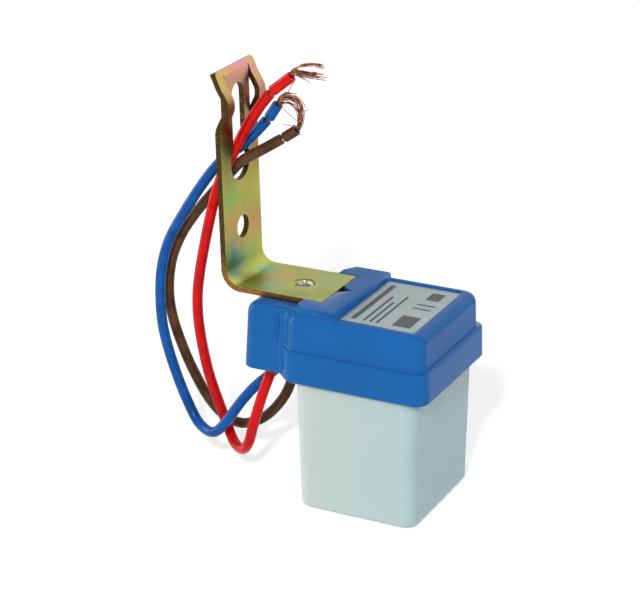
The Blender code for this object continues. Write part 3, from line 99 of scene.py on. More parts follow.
def startMaterial(name, colour, roughness, metallic=0.0):
    # a new finish, with the coordinates that its patterns follow
    material = bpy.data.materials.new(name)
    material.use_nodes = True
    shader = material.node_tree.nodes["Principled BSDF"]
    shader.inputs["Base Color"].default_value = hexColour(colour)
    shader.inputs["Roughness"].default_value = roughness
    shader.inputs["Metallic"].default_value = metallic
    coords = addNode(material, "ShaderNodeTexCoord").outputs["Object"]
    return material, shader, coords


def addMottle(material, shader, coords, patchMm, stops):
    # colour that drifts over patches of this size
    patches = addNode(material, "ShaderNodeTexNoise",
                      sockets={"Vector": coords, "Scale": 1000 / patchMm, "Detail": 3.0})
    addNode(material, "ShaderNodeValToRGB", sockets={"Fac": patches.outputs["Fac"]}, stops=stops,
            feeds={"Color": shader.inputs["Base Color"]})


def addGrain(material, shader, coords, grainMm, roughRange, bumpMm):
    # fine unevenness of the skin: it varies the gloss and lifts the surface
    grain = addNode(material, "ShaderNodeTexNoise",
                    sockets={"Vector": coords, "Scale": 1000 / grainMm, "Detail": 3.0})
    addNode(material, "ShaderNodeMapRange",
            sockets={"Value": grain.outputs["Fac"], "To Min": roughRange[0], "To Max": roughRange[1]},
            feeds={"Result": shader.inputs["Roughness"]})
    addNode(material, "ShaderNodeBump",
            sockets={"Height": grain.outputs["Fac"], "Strength": 0.3, "Distance": bumpMm * mm},
            feeds={"Normal": shader.inputs["Normal"]})


def clearSelection():
    if bpy.context.object and bpy.context.object.mode != "OBJECT":
        bpy.ops.object.mode_set(mode="OBJECT")
    bpy.ops.object.select_all(action="DESELECT")


def useOnly(piece):
    clearSelection()
    piece.select_set(True)
    bpy.context.view_layer.objects.active = piece


def editFaces(piece, isWanted):
    # goes into edit mode with just the wanted faces selected, by their middle and normal
    useOnly(piece)
    bpy.ops.object.mode_set(mode="EDIT")
    bpy.ops.mesh.select_mode(type="FACE")
    bpy.ops.mesh.select_all(action="DESELECT")
    bpy.ops.object.mode_set(mode="OBJECT")
    for face in piece.data.polygons:
        face.select = isWanted(face.center, face.normal)
    bpy.ops.object.mode_set(mode="EDIT")


def editEdges(piece, isWanted):
    # the same for edges, by their two ends
    useOnly(piece)
    bpy.ops.object.mode_set(mode="EDIT")
    bpy.ops.mesh.select_mode(type="EDGE")
    bpy.ops.mesh.select_all(action="DESELECT")
    bpy.ops.object.mode_set(mode="OBJECT")
    corners = piece.data.vertices
    for edge in piece.data.edges:
        edge.select = isWanted(corners[edge.vertices[0]].co, corners[edge.vertices[1]].co)
    bpy.ops.object.mode_set(mode="EDIT")


def raiseFace(height, spread, pivot):
    # extrudes the selected face up by a height in mm and scales its new outline about a point
    bpy.ops.mesh.extrude_region_move(TRANSFORM_OT_translate={"value": (0, 0, height * mm)})
    bpy.ops.transform.resize(value=(spread[0], spread[1], 1), center_override=pivot)


def closeShape(piece):
    # merges doubles and turns all faces outwards
    useOnly(piece)
    bpy.ops.object.mode_set(mode="EDIT")
    bpy.ops.mesh.select_all(action="SELECT")
    bpy.ops.mesh.remove_doubles(threshold=mergeWithin)
    bpy.ops.mesh.normals_make_consistent(inside=False)
    bpy.ops.object.mode_set(mode="OBJECT")


def applyModifier(piece, kind, settings):
    useOnly(piece)
    modifier = piece.modifiers.new(kind.title(), kind)
    for name, value in settings.items():
        setattr(modifier, name, value)
    bpy.ops.object.modifier_apply(modifier=modifier.name)


def smoothByAngle(piece, degrees):
    useOnly(piece)
    bpy.ops.object.shade_smooth_by_angle(angle=math.radians(degrees))


def smoothFlats(piece, degrees):
    # smooth shading in which the large flat faces stay flat and only the rounded edges turn
    smoothByAngle(piece, degrees)
    applyModifier(piece, "WEIGHTED_NORMAL",
                  {"mode": "FACE_AREA_WITH_ANGLE", "keep_sharp": True, "weight": 100})


def finishPiece(piece, name, material, replaced=()):
    # names the piece, gives it its material, says what it rides on, and hides the solids that it stands for
    piece.name = name
    piece.data.name = name
    piece.data.materials.clear()
    piece.data.materials.append(material)
    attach(piece, "root")
    if replaced:
        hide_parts(*replaced)
    return piece


def mergedCopy(nodeName, pieceName):
    # a CAD node's mesh is loose triangles, so its copy is merged before it is worked on
    piece = bpy.data.objects.new(pieceName, bpy.data.objects[nodeName].data.copy())
    bpy.context.scene.collection.objects.link(piece)
    closeShape(piece)
    return piece


# camera: a long lens, about 27 degrees to the right of the front, looking down on the cap
cameraView = {
    "place": place(226.49, -484.85, 271.81),
    "right": Vector((0.89341, 0.44919, -0.00603)),
    "up": Vector((-0.16380, 0.33823, 0.92670)),
    "lens": 125.97,
    "sensor": 36.0,
    "clip": (0.05, 20.0),
}
cameraData = bpy.data.cameras.new("studioCamera")
cameraData.lens = cameraView["lens"]
cameraData.sensor_fit = "HORIZONTAL"
cameraData.sensor_width = cameraView["sensor"]
cameraData.clip_start, cameraData.clip_end = cameraView["clip"]
camera = bpy.data.objects.new("studioCamera", cameraData)
bpy.context.scene.collection.objects.link(camera)
backwards = cameraView["right"].cross(cameraView["up"]).normalized()
turn = Matrix((cameraView["right"], cameraView["up"], backwards)).transposed()
camera.matrix_world = Matrix.Translation(cameraView["place"]) @ turn.to_4x4()
bpy.context.scene.camera = camera
print("camera placed")


# connecting wires: PVC insulation over stranded copper, with the cut end pieces pushed along
wireSet = {
    "diameter": 2.85 * mm,
    "wall": 0.62 * mm,
    "boreDepth": 0.7 * mm,
    "cutEdge": 0.12 * mm,
    "pointEvery": 2.0 * mm,
    "sides": 24,
}

wireRoutes = {
    "red": [(-29, -8, 37), (-29, -8, 33.8), (-31, -10, 25.9), (-33.6, -10.5, 16.8),
            (-34.7, -10.4, 12.6), (-35.8, -9.9, 10.2), (-37.7, -8.6, 8), (-40.2, -6.8, 7.1),
            (-42.9, -5.1, 8.1), (-45, -3.9, 10.8), (-47.2, -3.1, 15), (-49.6, -2.8, 20.6),
            (-51.4, -2.9, 26.3), (-53, -4, 38.2), (-52.9, -5, 47.3), (-51.6, -5.8, 55),
            (-49.6, -6.2, 63.9), (-47.6, -6, 72.6), (-46.3, -4.8, 79.2), (-45.2, -3.3, 83.5),
            (-43.7, -2.25, 87.1), (-41.9, -1.55, 90.8), (-39.9, -1.6, 94.6), (-37.8, -1.8, 98),
            (-36, -1.9, 100.8), (-33.8, -2, 103.9), (-31.6, -2, 106.6)],
    "blue": [(-29, 0, 37), (-29, 0, 35.2), (-29.6, -0.1, 32.9), (-31.3, -0.7, 30.2),
             (-33.8, -1.8, 27.5), (-36.8, -3.6, 24.5), (-39.6, -6.5, 20.5), (-42.4, -9.6, 15.5),
             (-46.6, -9, 11.3), (-52.4, -6.5, 11.5), (-57.4, -5, 17.9), (-61.7, -5, 29),
             (-63.9, -5, 37.7), (-64.4, -5, 45.3), (-63.9, -4.8, 54), (-61.5, -4.3, 62.8),
             (-56.7, -3.4, 71.7), (-51.6, -2, 80), (-48.3, -0.6, 84.6), (-45.2, 0.8, 88),
             (-42.4, 1.5, 89.9), (-40.2, 1.5, 92), (-37.4, 1.4, 94.9), (-34.5, 1.3, 98.1)],
    "brown": [(-29, 8, 37), (-29, 8, 33.8), (-31.4, 6, 21.6), (-33.4, 4.5, 17.3), (-37.5, 2.8, 12.7),
              (-43.3, 1.8, 10.1), (-48.2, 1.2, 11.2), (-52.6, 0.8, 15), (-57, 0, 22.6),
              (-60.5, -0.8, 31.2), (-63.3, -0.9, 39.7), (-64.1, -0.9, 46.8), (-63, -0.7, 55.7),
              (-59.9, -0.5, 63.3), (-55.2, -0.3, 70.4), (-50, 0.2, 76.8), (-45.6, 0.5, 82),
              (-42.4, 0.3, 85.6), (-39.9, 0.8, 87.6), (-37.7, 1.6, 88.9), (-34.2, 2.4, 91.1),
              (-31, 2.8, 93.2)],
}

sleeveEnds = {
    "red": [(-30.9, -2, 107.4), (-25.5, -1.65, 111.8)],
    "blue": [(-33.75, 1.35, 98.95), (-31.15, 1.4, 102.9)],
    "brown": [(-30.1, 2.9, 93.7), (-26.8, 3.25, 96.05)],
}

pvcColours = {
    "red": ("#E30E12", "#C4080C"),
    "blue": ("#0C5EB0", "#074A90"),
    "brown": ("#6A492C", "#40291A"),
}


def pointOn(a, b, t0, t1, t):
    return a * ((t1 - t) / (t1 - t0)) + b * ((t - t0) / (t1 - t0))


def smoothRoute(route, spacing):
    # a curve through given points, with no overshoot where they lie close together, read off at
    # an even spacing; it also gives the curve's length
    knots = [2 * route[0] - route[1], *route, 2 * route[-1] - route[-2]]
    fineSteps = 24
    dense = [route[0]]
    for i in range(len(route) - 1):
        p = knots[i:i + 4]
        t = [0.0]
        for j in range(3):
            t.append(t[-1] + max((p[j + 1] - p[j]).length, 1e-7) ** 0.5)
        for step in range(1, fineSteps + 1):
            s = t[1] + (t[2] - t[1]) * step / fineSteps
            a = [pointOn(p[j], p[j + 1], t[j], t[j + 1], s) for j in range(3)]
            b = [pointOn(a[j], a[j + 1], t[j], t[j + 2], s) for j in range(2)]
            dense.append(pointOn(b[0], b[1], t[1], t[2], s))
    lengths = [0.0]
    for a, b in zip(dense, dense[1:]):
        lengths.append(lengths[-1] + (b - a).length)
    count = max(3, round(lengths[-1] / spacing) + 1)
    points, i = [], 0
    for k in range(count):
        target = lengths[-1] * k / (count - 1)
        while i < len(lengths) - 2 and lengths[i + 1] < target:
            i += 1
        share = (target - lengths[i]) / max(lengths[i + 1] - lengths[i], 1e-12)
        points.append(dense[i].lerp(dense[i + 1], min(max(share, 0), 1)))
    return points, lengths[-1]


def framesAlong(points):
    # a side and an up direction at each point, carried along without twisting
    tangents = []
    for i in range(len(points)):
        ahead = points[min(i + 1, len(points) - 1)] - points[max(i - 1, 0)]
        tangents.append(ahead.normalized())
    side = tangents[0].orthogonal().normalized()
    frames = []
    for tangent in tangents:
        side = (side - tangent * side.dot(tangent)).normalized()
        frames.append((side, tangent.cross(side)))
    return frames


def addTube(shape, stations, sides):
    # rings of vertices, one for each (point, side, up, radius), joined and closed at both ends
    rings = []
    for point, side, up, radius in stations:
        ring = []
        for k in range(sides):
            angle = 2 * math.pi * k / sides
            ring.append(shape.verts.new(point + (side * math.cos(angle) + up * math.sin(angle)) * radius))
        rings.append(ring)
    for a, b in zip(rings, rings[1:]):
        for k in range(sides):
            shape.faces.new((a[k], a[(k + 1) % sides], b[(k + 1) % sides], b[k]))
    shape.faces.new(list(reversed(rings[0])))
    shape.faces.new(rings[-1])


def pieceFromShape(shape, name):
    bmesh.ops.recalc_face_normals(shape, faces=shape.faces)
    mesh = bpy.data.meshes.new(name)
    shape.to_mesh(mesh)
    shape.free()
    piece = bpy.data.objects.new(name, mesh)
    bpy.context.scene.collection.objects.link(piece)
    return piece


def makePvc(name, colour, darker):
    # soft PVC, extruded over the strands: a satin skin with faint unevenness and handling marks
    material, shader, coords = startMaterial(name, colour, roughness=0.32)
    shader.inputs["IOR"].default_value = 1.53
    shader.inputs["Specular IOR Level"].default_value = 0.14
    addMottle(material, shader, coords, patchMm=5.0, stops=[(0.3, darker), (0.6, colour)])
    addGrain(material, shader, coords, grainMm=1.1, roughRange=(0.16, 0.3), bumpMm=0.04)
    return material


pvc = {name: makePvc(name + "PvcInsulation", *shades) for name, shades in pvcColours.items()}


copperFinish = {
    "clean": "#A85A38",
    "tarnish": [(0.3, "#5C544C"), (0.42, "#8A5240"), (0.54, "#BE7E68"), (0.66, "#ECCEBC")],
    "tarnishMm": 1.3,
    "grainMm": 0.4,
}


def makeCopper():
    # bare annealed copper: bright pink-orange where it is clean, brown or grey where it has tarnished
    material, shader, coords = startMaterial("bareCopperStrand", copperFinish["clean"], roughness=0.3,
                                             metallic=1.0)
    addMottle(material, shader, coords, copperFinish["tarnishMm"], copperFinish["tarnish"])
    addGrain(material, shader, coords, copperFinish["grainMm"], roughRange=(0.18, 0.4), bumpMm=0.01)
    return material


copper = makeCopper()

strandSet = {
    "diameter": 0.19 * mm,
    "sides": 5,
    "pointEvery": 0.7 * mm,
    "goldenTurn": 0.381966,    # of a full turn from one strand to the next, which spreads them evenly
    "swirl": 1.1,              # radians that a strand may turn round its bunch on the way
    "drift": 0.25,             # share by which it drifts in and out
    "driftTurn": 5,            # radians of that drift on the way
    "lateSpread": 1.4,         # above 1 the bunch stays tight at first
}

# each bunch: its route, its number of strands, its radius in mm where it starts and where it ends,
# its flatness, and the shortest share of the route that a strand keeps
strandBunches = {
    "red": [
        {"route": [(-26.6, -1.7, 111.0), (-25.5, -1.6, 112.9), (-23.1, -1.6, 114.7), (-19.7, -1.6, 115.6),
                   (-15.9, -1.6, 115.5)],
         "count": 10, "start": 0.5, "end": 0.8, "flat": 0.6, "reach": 0.86},
        {"route": [(-26.6, -1.7, 111.0), (-25.6, -1.6, 112.6), (-23.5, -1.6, 113.0), (-20.4, -1.6, 112.9),
                   (-15.6, -1.6, 112.8)],
         "count": 22, "start": 0.6, "end": 1.35, "flat": 0.75, "reach": 0.72},
        {"route": [(-26.2, -1.7, 111.4), (-25.2, -1.6, 112.4), (-22.4, -1.5, 111.9), (-20.5, -1.5, 111.0)],
         "count": 3, "start": 0.3, "end": 0.5, "flat": 1.0, "reach": 0.8},
        {"route": [(-24.9, -0.8, 110.9), (-26.1, -0.8, 109.0), (-27.2, -0.8, 106.9)],
         "count": 1, "start": 0.0, "end": 0.0, "flat": 1.0, "reach": 1.0},
    ],
    "blue": [
        {"route": [(-32.0, 1.4, 101.4), (-31.0, 1.4, 103.2), (-29.6, 1.4, 104.7), (-27.7, 1.4, 105.1),
                   (-26.0, 1.4, 104.9), (-24.9, 1.5, 103.9), (-24.5, 1.6, 102.2), (-24.8, 1.8, 100.2),
                   (-25.3, 2.1, 98.4)],
         "count": 20, "start": 0.65, "end": 1.0, "flat": 0.8, "reach": 0.7},
        {"route": [(-31.9, 1.4, 101.6), (-31.2, 1.6, 103.9), (-29.9, 1.8, 105.6), (-27.9, 1.8, 106.1),
                   (-25.9, 1.8, 106.1), (-23.9, 1.8, 106.6)],
         "count": 5, "start": 0.3, "end": 0.45, "flat": 0.7, "reach": 0.6},
        {"route": [(-31.6, 1.4, 101.6), (-30.5, 1.2, 102.8), (-29.3, 1.2, 103.5), (-27.6, 1.2, 103.6),
                   (-26.2, 1.2, 102.7), (-25.5, 1.3, 101.4), (-25.2, 1.5, 99.8)],
         "count": 9, "start": 0.35, "end": 0.6, "flat": 0.8, "reach": 0.6},
        {"route": [(-30.6, 1.2, 102.4), (-29.7, 0.8, 102.7), (-28.5, 0.8, 101.5), (-27.1, 0.9, 100.4),
                   (-25.7, 1.2, 99.2)],
         "count": 1, "start": 0.0, "end": 0.0, "flat": 1.0, "reach": 1.0},
    ],
    "brown": [
        {"route": [(-27.6, 3.15, 95.5), (-26.4, 3.0, 96.6), (-25.5, 2.8, 98.2), (-25.0, 2.8, 100.4),
                   (-25.1, 2.8, 102.3), (-26.0, 2.8, 103.8), (-27.4, 2.8, 104.4)],
         "count": 18, "start": 0.6, "end": 1.0, "flat": 0.8, "reach": 0.62},
        {"route": [(-27.4, 3.1, 95.7), (-26.2, 2.8, 97.2), (-25.8, 2.5, 99.5), (-26.2, 2.4, 101.6),
                   (-27.2, 2.4, 103.0)],
         "count": 6, "start": 0.35, "end": 0.6, "flat": 0.8, "reach": 0.6},
        {"route": [(-27.0, 3.0, 96.0), (-26.8, 2.6, 97.5), (-28.4, 2.4, 97.3), (-30.4, 2.4, 97.5)],
         "count": 1, "start": 0.0, "end": 0.0, "flat": 1.0, "reach": 1.0},
        {"route": [(-24.9, 2.6, 101.0), (-23.9, 2.0, 101.9), (-22.6, 2.0, 102.4)],
         "count": 1, "start": 0.0, "end": 0.0, "flat": 1.0, "reach": 1.0},
    ],
}
strandSeeds = {"red": 4, "blue": 9, "brown": 15}


def makeStrands(colourName):
    # bunches of fine wires that leave the insulation together and spread towards ragged ends
    chance = random.Random(strandSeeds[colourName])
    shape = bmesh.new()
    for bunch in strandBunches[colourName]:
        points = smoothRoute(placeAll(bunch["route"]), strandSet["pointEvery"])[0]
        frames = framesAlong(points)
        for k in range(bunch["count"]):
            around = 2 * math.pi * k * strandSet["goldenTurn"]
            packed = math.sqrt((k + 0.5) / bunch["count"])
            swirl = chance.uniform(-strandSet["swirl"], strandSet["swirl"])
            wave = chance.uniform(0.0, 2 * math.pi)
            kept = max(4, round(len(points) * chance.uniform(bunch["reach"], 1.0)))
            stations = []
            for i in range(kept):
                share = i / (len(points) - 1)
                angle = around + swirl * share
                grow = bunch["start"] + (bunch["end"] - bunch["start"]) * share ** strandSet["lateSpread"]
                wander = 1 + strandSet["drift"] * math.sin(wave + strandSet["driftTurn"] * share)
                side, up = frames[i]
                outward = side * math.cos(angle) * bunch["flat"] + up * math.sin(angle)
                across = outward * packed * grow * wander
                stations.append((points[i] + across * mm, side, up, strandSet["diameter"] / 2))
            addTube(shape, stations, strandSet["sides"])
    piece = pieceFromShape(shape, colourName + "CopperHairs")
    smoothByAngle(piece, 60)
    return finishPiece(piece, colourName + "CopperHairs", copper,
                       (colourName + "_copper_strands",))


def makeSleeve(colourName):
    # the cut end piece of insulation: a cylinder with a bore in each end and rims that aren't quite sharp
    start, end = placeAll(sleeveEnds[colourName])
    along = end - start
    direction = along.normalized()
    clearSelection()
    bpy.ops.mesh.primitive_cylinder_add(vertices=wireSet["sides"], radius=wireSet["diameter"] / 2,
                                        depth=along.length, location=(start + end) / 2,
                                        rotation=along.to_track_quat("Z", "Y").to_euler())
    piece = bpy.context.object
    bpy.ops.object.transform_apply(location=True, rotation=True, scale=True)
    for outward in (direction, -direction):
        editFaces(piece, lambda middle, normal: normal.dot(outward) > 0.9)
        bpy.ops.mesh.inset(thickness=wireSet["wall"])
        bpy.ops.mesh.extrude_region_move(
            TRANSFORM_OT_translate={"value": tuple(-outward * wireSet["boreDepth"])})
    bpy.ops.object.mode_set(mode="OBJECT")
    applyModifier(piece, "BEVEL", {"width": wireSet["cutEdge"], "segments": 2, "limit_method": "ANGLE",
                                   "angle_limit": math.radians(50)})
    smoothFlats(piece, 40)
    return finishPiece(piece, colourName + "EndSleeve", pvc[colourName],
                       (colourName + "_insulation_slug",))


coreSet = {
    "strands": 9,
    "ringRadius": 0.55,      # mm from the core's middle to each strand's
    "strandRadius": 0.2 * mm,
    "sides": 6,
    "steps": 6,              # stretches from one end to the other
    "stepsPerTurn": 20,      # of the twist
    "inSleeve": 0.12,        # share of the end piece that the core reaches into
    "inBore": 0.9,           # share of the wire's bore
}


def makeCore(colourName, wireEnd):
    # the twisted copper core that shows in the gap between the wire and its end piece
    start, end = placeAll(sleeveEnds[colourName])
    inSleeve = start.lerp(end, coreSet["inSleeve"])
    inWire = wireEnd + (wireEnd - start).normalized() * wireSet["boreDepth"] * coreSet["inBore"]
    side = (inSleeve - inWire).orthogonal().normalized()
    up = (inSleeve - inWire).normalized().cross(side)
    shape = bmesh.new()
    for k in range(coreSet["strands"]):
        stations = []
        for i in range(coreSet["steps"] + 1):
            point = inWire.lerp(inSleeve, i / coreSet["steps"])
            angle = 2 * math.pi * (k / coreSet["strands"] + i / coreSet["stepsPerTurn"])
            centre = point + (side * math.cos(angle) + up * math.sin(angle)) * coreSet["ringRadius"] * mm
            stations.append((centre, side, up, coreSet["strandRadius"]))
        addTube(shape, stations, coreSet["sides"])
    piece = pieceFromShape(shape, colourName + "CoreInGap")
    smoothByAngle(piece, 60)
    return finishPiece(piece, colourName + "CoreInGap", copper)


def makeWire(colourName):
    points, length = smoothRoute(placeAll(wireRoutes[colourName]), wireSet["pointEvery"])
    radius = wireSet["diameter"] / 2
    bore = radius - wireSet["wall"]
    stations = [(point, side, up, radius) for point, (side, up) in zip(points, framesAlong(points))]
    point, side, up, radius = stations.pop()
    inward = (points[-2] - points[-1]).normalized()
    stations += [(point + inward * wireSet["cutEdge"], side, up, radius),
                 (point, side, up, radius - wireSet["cutEdge"]),
                 (point, side, up, bore),
                 (point + inward * wireSet["boreDepth"], side, up, bore)]
    shape = bmesh.new()
    addTube(shape, stations, wireSet["sides"])
    piece = pieceFromShape(shape, colourName + "HookUpWire")
    smoothByAngle(piece, 40)
    finishPiece(piece, colourName + "HookUpWire", pvc[colourName],
                (colourName + "_wire",))
    sleeve = makeSleeve(colourName)
    core = makeCore(colourName, points[-1])
    hairs = makeStrands(colourName)
    return length


for colourName in ("red", "blue", "brown"):
    print(colourName, "wire made,", round(makeWire(colourName) * 1000, 1), "mm long")


# cap: moulded in one piece with its collar, rear block and label recess
capFinish = {
    "blue": "#1B6AB5",
    "deepBlue": "#1964AB",
    "flowMm": 22.0,
    "grainMm": 1.4,
}


def makeBlueAbs():
    # ABS, injection moulded against polished steel: even colour, clear glints along every rounded edge
    material, shader, coords = startMaterial("glossyBlueAbs", capFinish["blue"], roughness=0.2)
    shader.inputs["IOR"].default_value = 1.54
    shader.inputs["Specular IOR Level"].default_value = 0.08
    addMottle(material, shader, coords, capFinish["flowMm"],
              [(0.3, capFinish["deepBlue"]), (0.65, capFinish["blue"])])
    addGrain(material, shader, coords, capFinish["grainMm"], roughRange=(0.06, 0.12), bumpMm=0.006)
    return material


blueAbs = makeBlueAbs()
capPiece = mergedCopy("cap", "mouldedCap")
smoothFlats(capPiece, 35)
finishPiece(capPiece, "mouldedCap", blueAbs, ("cap",))
print("cap made")


# translucent cover
coverSize = {
    "footHalf": (16.8, 18.1),      # half its width along x and y, all in mm
    "neckHalf": (17.5, 18.8),
    "rimHalf": (18.35, 18.8),
    "neckHeight": 38.325,
    "rimStep": 0.8,
    "height": 44.4,
    "corner": 3.6,
    "footEdge": 1.5,
    "innerEdge": 1.0,
    "wall": 1.5,
}
coverFinish = {
    "tint": "#C7D8D5",
    # painted light and shade: the milky colour drifts from light on the bracket's side of the cover, where
    # the left lamp falls, to darker and bluer on the far side, which lies in shade
    "milkWithPaintedLightAndShade": [(0.0, "#ECEEE8"), (0.05, "#E2E7E1"), (0.1, "#D4DED8"), (0.2, "#CCD9D4"), (0.5, "#C7D8D5"),
             (0.9, "#C2D6D6"), (0.99, "#AFC8CE")],
    "patchMm": 17.0,
    "patchShare": 0.06,            # how far the patches shift that drift
    "scatterMm": 2.5,
}


def makeOpalCover():
    # polypropylene, injection moulded in a milky grade: light enters, scatters, and softens every edge
    material, shader, coords = startMaterial("opalPolypropylene", coverFinish["tint"], roughness=0.3)
    shader.inputs["IOR"].default_value = 1.49
    shader.inputs["Specular IOR Level"].default_value = 0.2
    shader.inputs["Subsurface Weight"].default_value = 0.4
    shader.inputs["Subsurface Radius"].default_value = (1.0, 1.0, 1.0)
    shader.inputs["Subsurface Scale"].default_value = coverFinish["scatterMm"] * mm
    # painted light and shade: lighter towards the bracket's side, darker and bluer towards the far side
    along = addNode(material, "ShaderNodeSeparateXYZ", sockets={"Vector": coords})
    share = addNode(material, "ShaderNodeMapRange",
                    sockets={"Value": along.outputs["X"],
                             "From Min": coverFoot.x - coverSize["rimHalf"][0] * mm,
                             "From Max": coverFoot.x + coverSize["footHalf"][0] * mm})
    patches = addNode(material, "ShaderNodeTexNoise",
                      sockets={"Vector": coords, "Scale": 1000 / coverFinish["patchMm"], "Detail": 3.0})
    flow = addNode(material, "ShaderNodeMapRange",
                   sockets={"Value": patches.outputs["Fac"], "To Min": -coverFinish["patchShare"],
                            "To Max": coverFinish["patchShare"]})
    mixed = addNode(material, "ShaderNodeMath", {"operation": "ADD"},
                    {0: share.outputs["Result"], 1: flow.outputs["Result"]})
    addNode(material, "ShaderNodeValToRGB", sockets={"Fac": mixed.outputs["Value"]},
            stops=coverFinish["milkWithPaintedLightAndShade"], feeds={"Color": shader.inputs["Base Color"]})
    addGrain(material, shader, coords, grainMm=1.1, roughRange=(0.24, 0.38), bumpMm=0.02)
    return material


def makeCoverShape():
    # a block drawn wider towards its neck, its corners rounded, its rim raised, its inside pressed down
    foot, neck, rim = coverSize["footHalf"], coverSize["neckHalf"], coverSize["rimHalf"]
    wall = coverSize["wall"]
    middle = place(0, 0, 0)
    near = 0.1 * mm
    clearSelection()
    bpy.ops.mesh.primitive_cube_add(size=mm, location=place(0, 0, 0.5))
    piece = bpy.context.object
    bpy.ops.object.transform_apply(location=True, rotation=True, scale=True)
    bpy.ops.object.mode_set(mode="EDIT")
    bpy.ops.transform.resize(value=(foot[0] * 2, foot[1] * 2, coverSize["neckHeight"]),
                             center_override=middle)
    editFaces(piece, lambda centre, normal: normal.z > 0.9)
    bpy.ops.transform.resize(value=(neck[0] / foot[0], neck[1] / foot[1], 1), center_override=middle)
    editEdges(piece, lambda a, b: abs(a.z - b.z) > near)
    bpy.ops.mesh.bevel(offset=coverSize["corner"] * mm, segments=10, affect="EDGES")
    editFaces(piece, lambda centre, normal: normal.z > 0.9)
    raiseFace(coverSize["rimStep"], (rim[0] / neck[0], rim[1] / neck[1]), middle)
    raiseFace(coverSize["height"] - coverSize["rimStep"] - coverSize["neckHeight"], (1, 1), middle)
    bpy.ops.mesh.inset(thickness=wall * mm)
    raiseFace(wall - coverSize["height"],
              ((foot[0] - wall) / (rim[0] - wall), (foot[1] - wall) / (rim[1] - wall)), middle)
    editEdges(piece, lambda a, b: max(a.z, b.z) < middle.z + near)
    bpy.ops.mesh.bevel(offset=coverSize["footEdge"] * mm, segments=6, affect="EDGES")
    floorZ = middle.z + wall * mm
    insideX = (foot[0] - wall) * mm + near
    insideY = (foot[1] - wall) * mm + near
    editEdges(piece, lambda a, b: abs(a.z - floorZ) + abs(b.z - floorZ) < near
              and max(abs(a.x - middle.x), abs(b.x - middle.x)) < insideX
              and max(abs(a.y), abs(b.y)) < insideY)
    bpy.ops.mesh.bevel(offset=coverSize["innerEdge"] * mm, segments=3, affect="EDGES")
    closeShape(piece)
    smoothFlats(piece, 35)
    return piece


coverPiece = makeCoverShape()
finishPiece(coverPiece, "opalCover", makeOpalCover(), ("light_cover",))
print("cover made")


# rating label: bare film with a few plain bars and fields in place of its print
labelSet = {
    "film": "#ABB9B8",
    "filmShade": "#A0AFAF",
    "ink": "#3A3E42",
    "thinInk": "#464B50",
    "thickInk": "#2E3236",
    "inkThickness": 0.03,
    # bars as x, y of the middle, length along x, width along y, in mm from the label's middle
    "bars": [(-7.6, 0, 1.4, 25.0), (-4.6, -3.6, 0.7, 17.8), (-2.8, -5.4, 0.7, 14.2),
             (-1.0, -2.8, 0.7, 19.4), (5.6, -8.6, 5.0, 7.4), (5.6, 0.6, 5.0, 0.7), (5.6, 3.4, 5.0, 0.7),
             (5.6, 9.6, 3.6, 5.0)],
}


def makeLabelFilm():
    # metallised polyester film under a clear laminate: grey, with a soft satin reflection
    material, shader, coords = startMaterial("silverPolyesterFilm", labelSet["film"], roughness=0.38,
                                             metallic=0.2)
    addMottle(material, shader, coords, patchMm=6.0,
              stops=[(0.3, labelSet["filmShade"]), (0.7, labelSet["film"])])
    addGrain(material, shader, coords, grainMm=0.9, roughRange=(0.3, 0.44), bumpMm=0.006)
    return material


def makeLabelInk():
    # screen-printed ink: dull dark grey, slightly uneven where it lies thin
    material, shader, coords = startMaterial("screenPrintInk", labelSet["ink"], roughness=0.5)
    addMottle(material, shader, coords, patchMm=0.8,
              stops=[(0.3, labelSet["thickInk"]), (0.7, labelSet["thinInk"])])
    addGrain(material, shader, coords, grainMm=0.5, roughRange=(0.42, 0.58), bumpMm=0.004)
    return material


labelPiece = mergedCopy("rating_label", "silverLabel")
smoothFlats(labelPiece, 30)
finishPiece(labelPiece, "silverLabel", makeLabelFilm(), ("rating_label",))

labelLow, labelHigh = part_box("rating_label")
labelMiddle = (Vector(labelLow) + Vector(labelHigh)) / 2
printBars = []
for x, y, length, width in labelSet["bars"]:
    clearSelection()
    middle = (labelMiddle.x + x * mm, labelMiddle.y + y * mm, labelHigh[2])
    bpy.ops.mesh.primitive_plane_add(size=mm, location=middle)
    bar = bpy.context.object
    bpy.ops.object.mode_set(mode="EDIT")
    bpy.ops.transform.resize(value=(length, width, 1))
    bpy.ops.mesh.extrude_region_move(
        TRANSFORM_OT_translate={"value": (0, 0, labelSet["inkThickness"] * mm)})
    bpy.ops.mesh.select_all(action="SELECT")
    bpy.ops.mesh.normals_make_consistent(inside=False)
    bpy.ops.object.mode_set(mode="OBJECT")
    bpy.ops.object.transform_apply(location=True, rotation=True, scale=True)
    printBars.append(bar)
clearSelection()
for bar in printBars:
    bar.select_set(True)
bpy.context.view_layer.objects.active = printBars[0]
bpy.ops.object.join()
finishPiece(printBars[0], "plainLabelPrint", makeLabelInk())
print("label made")


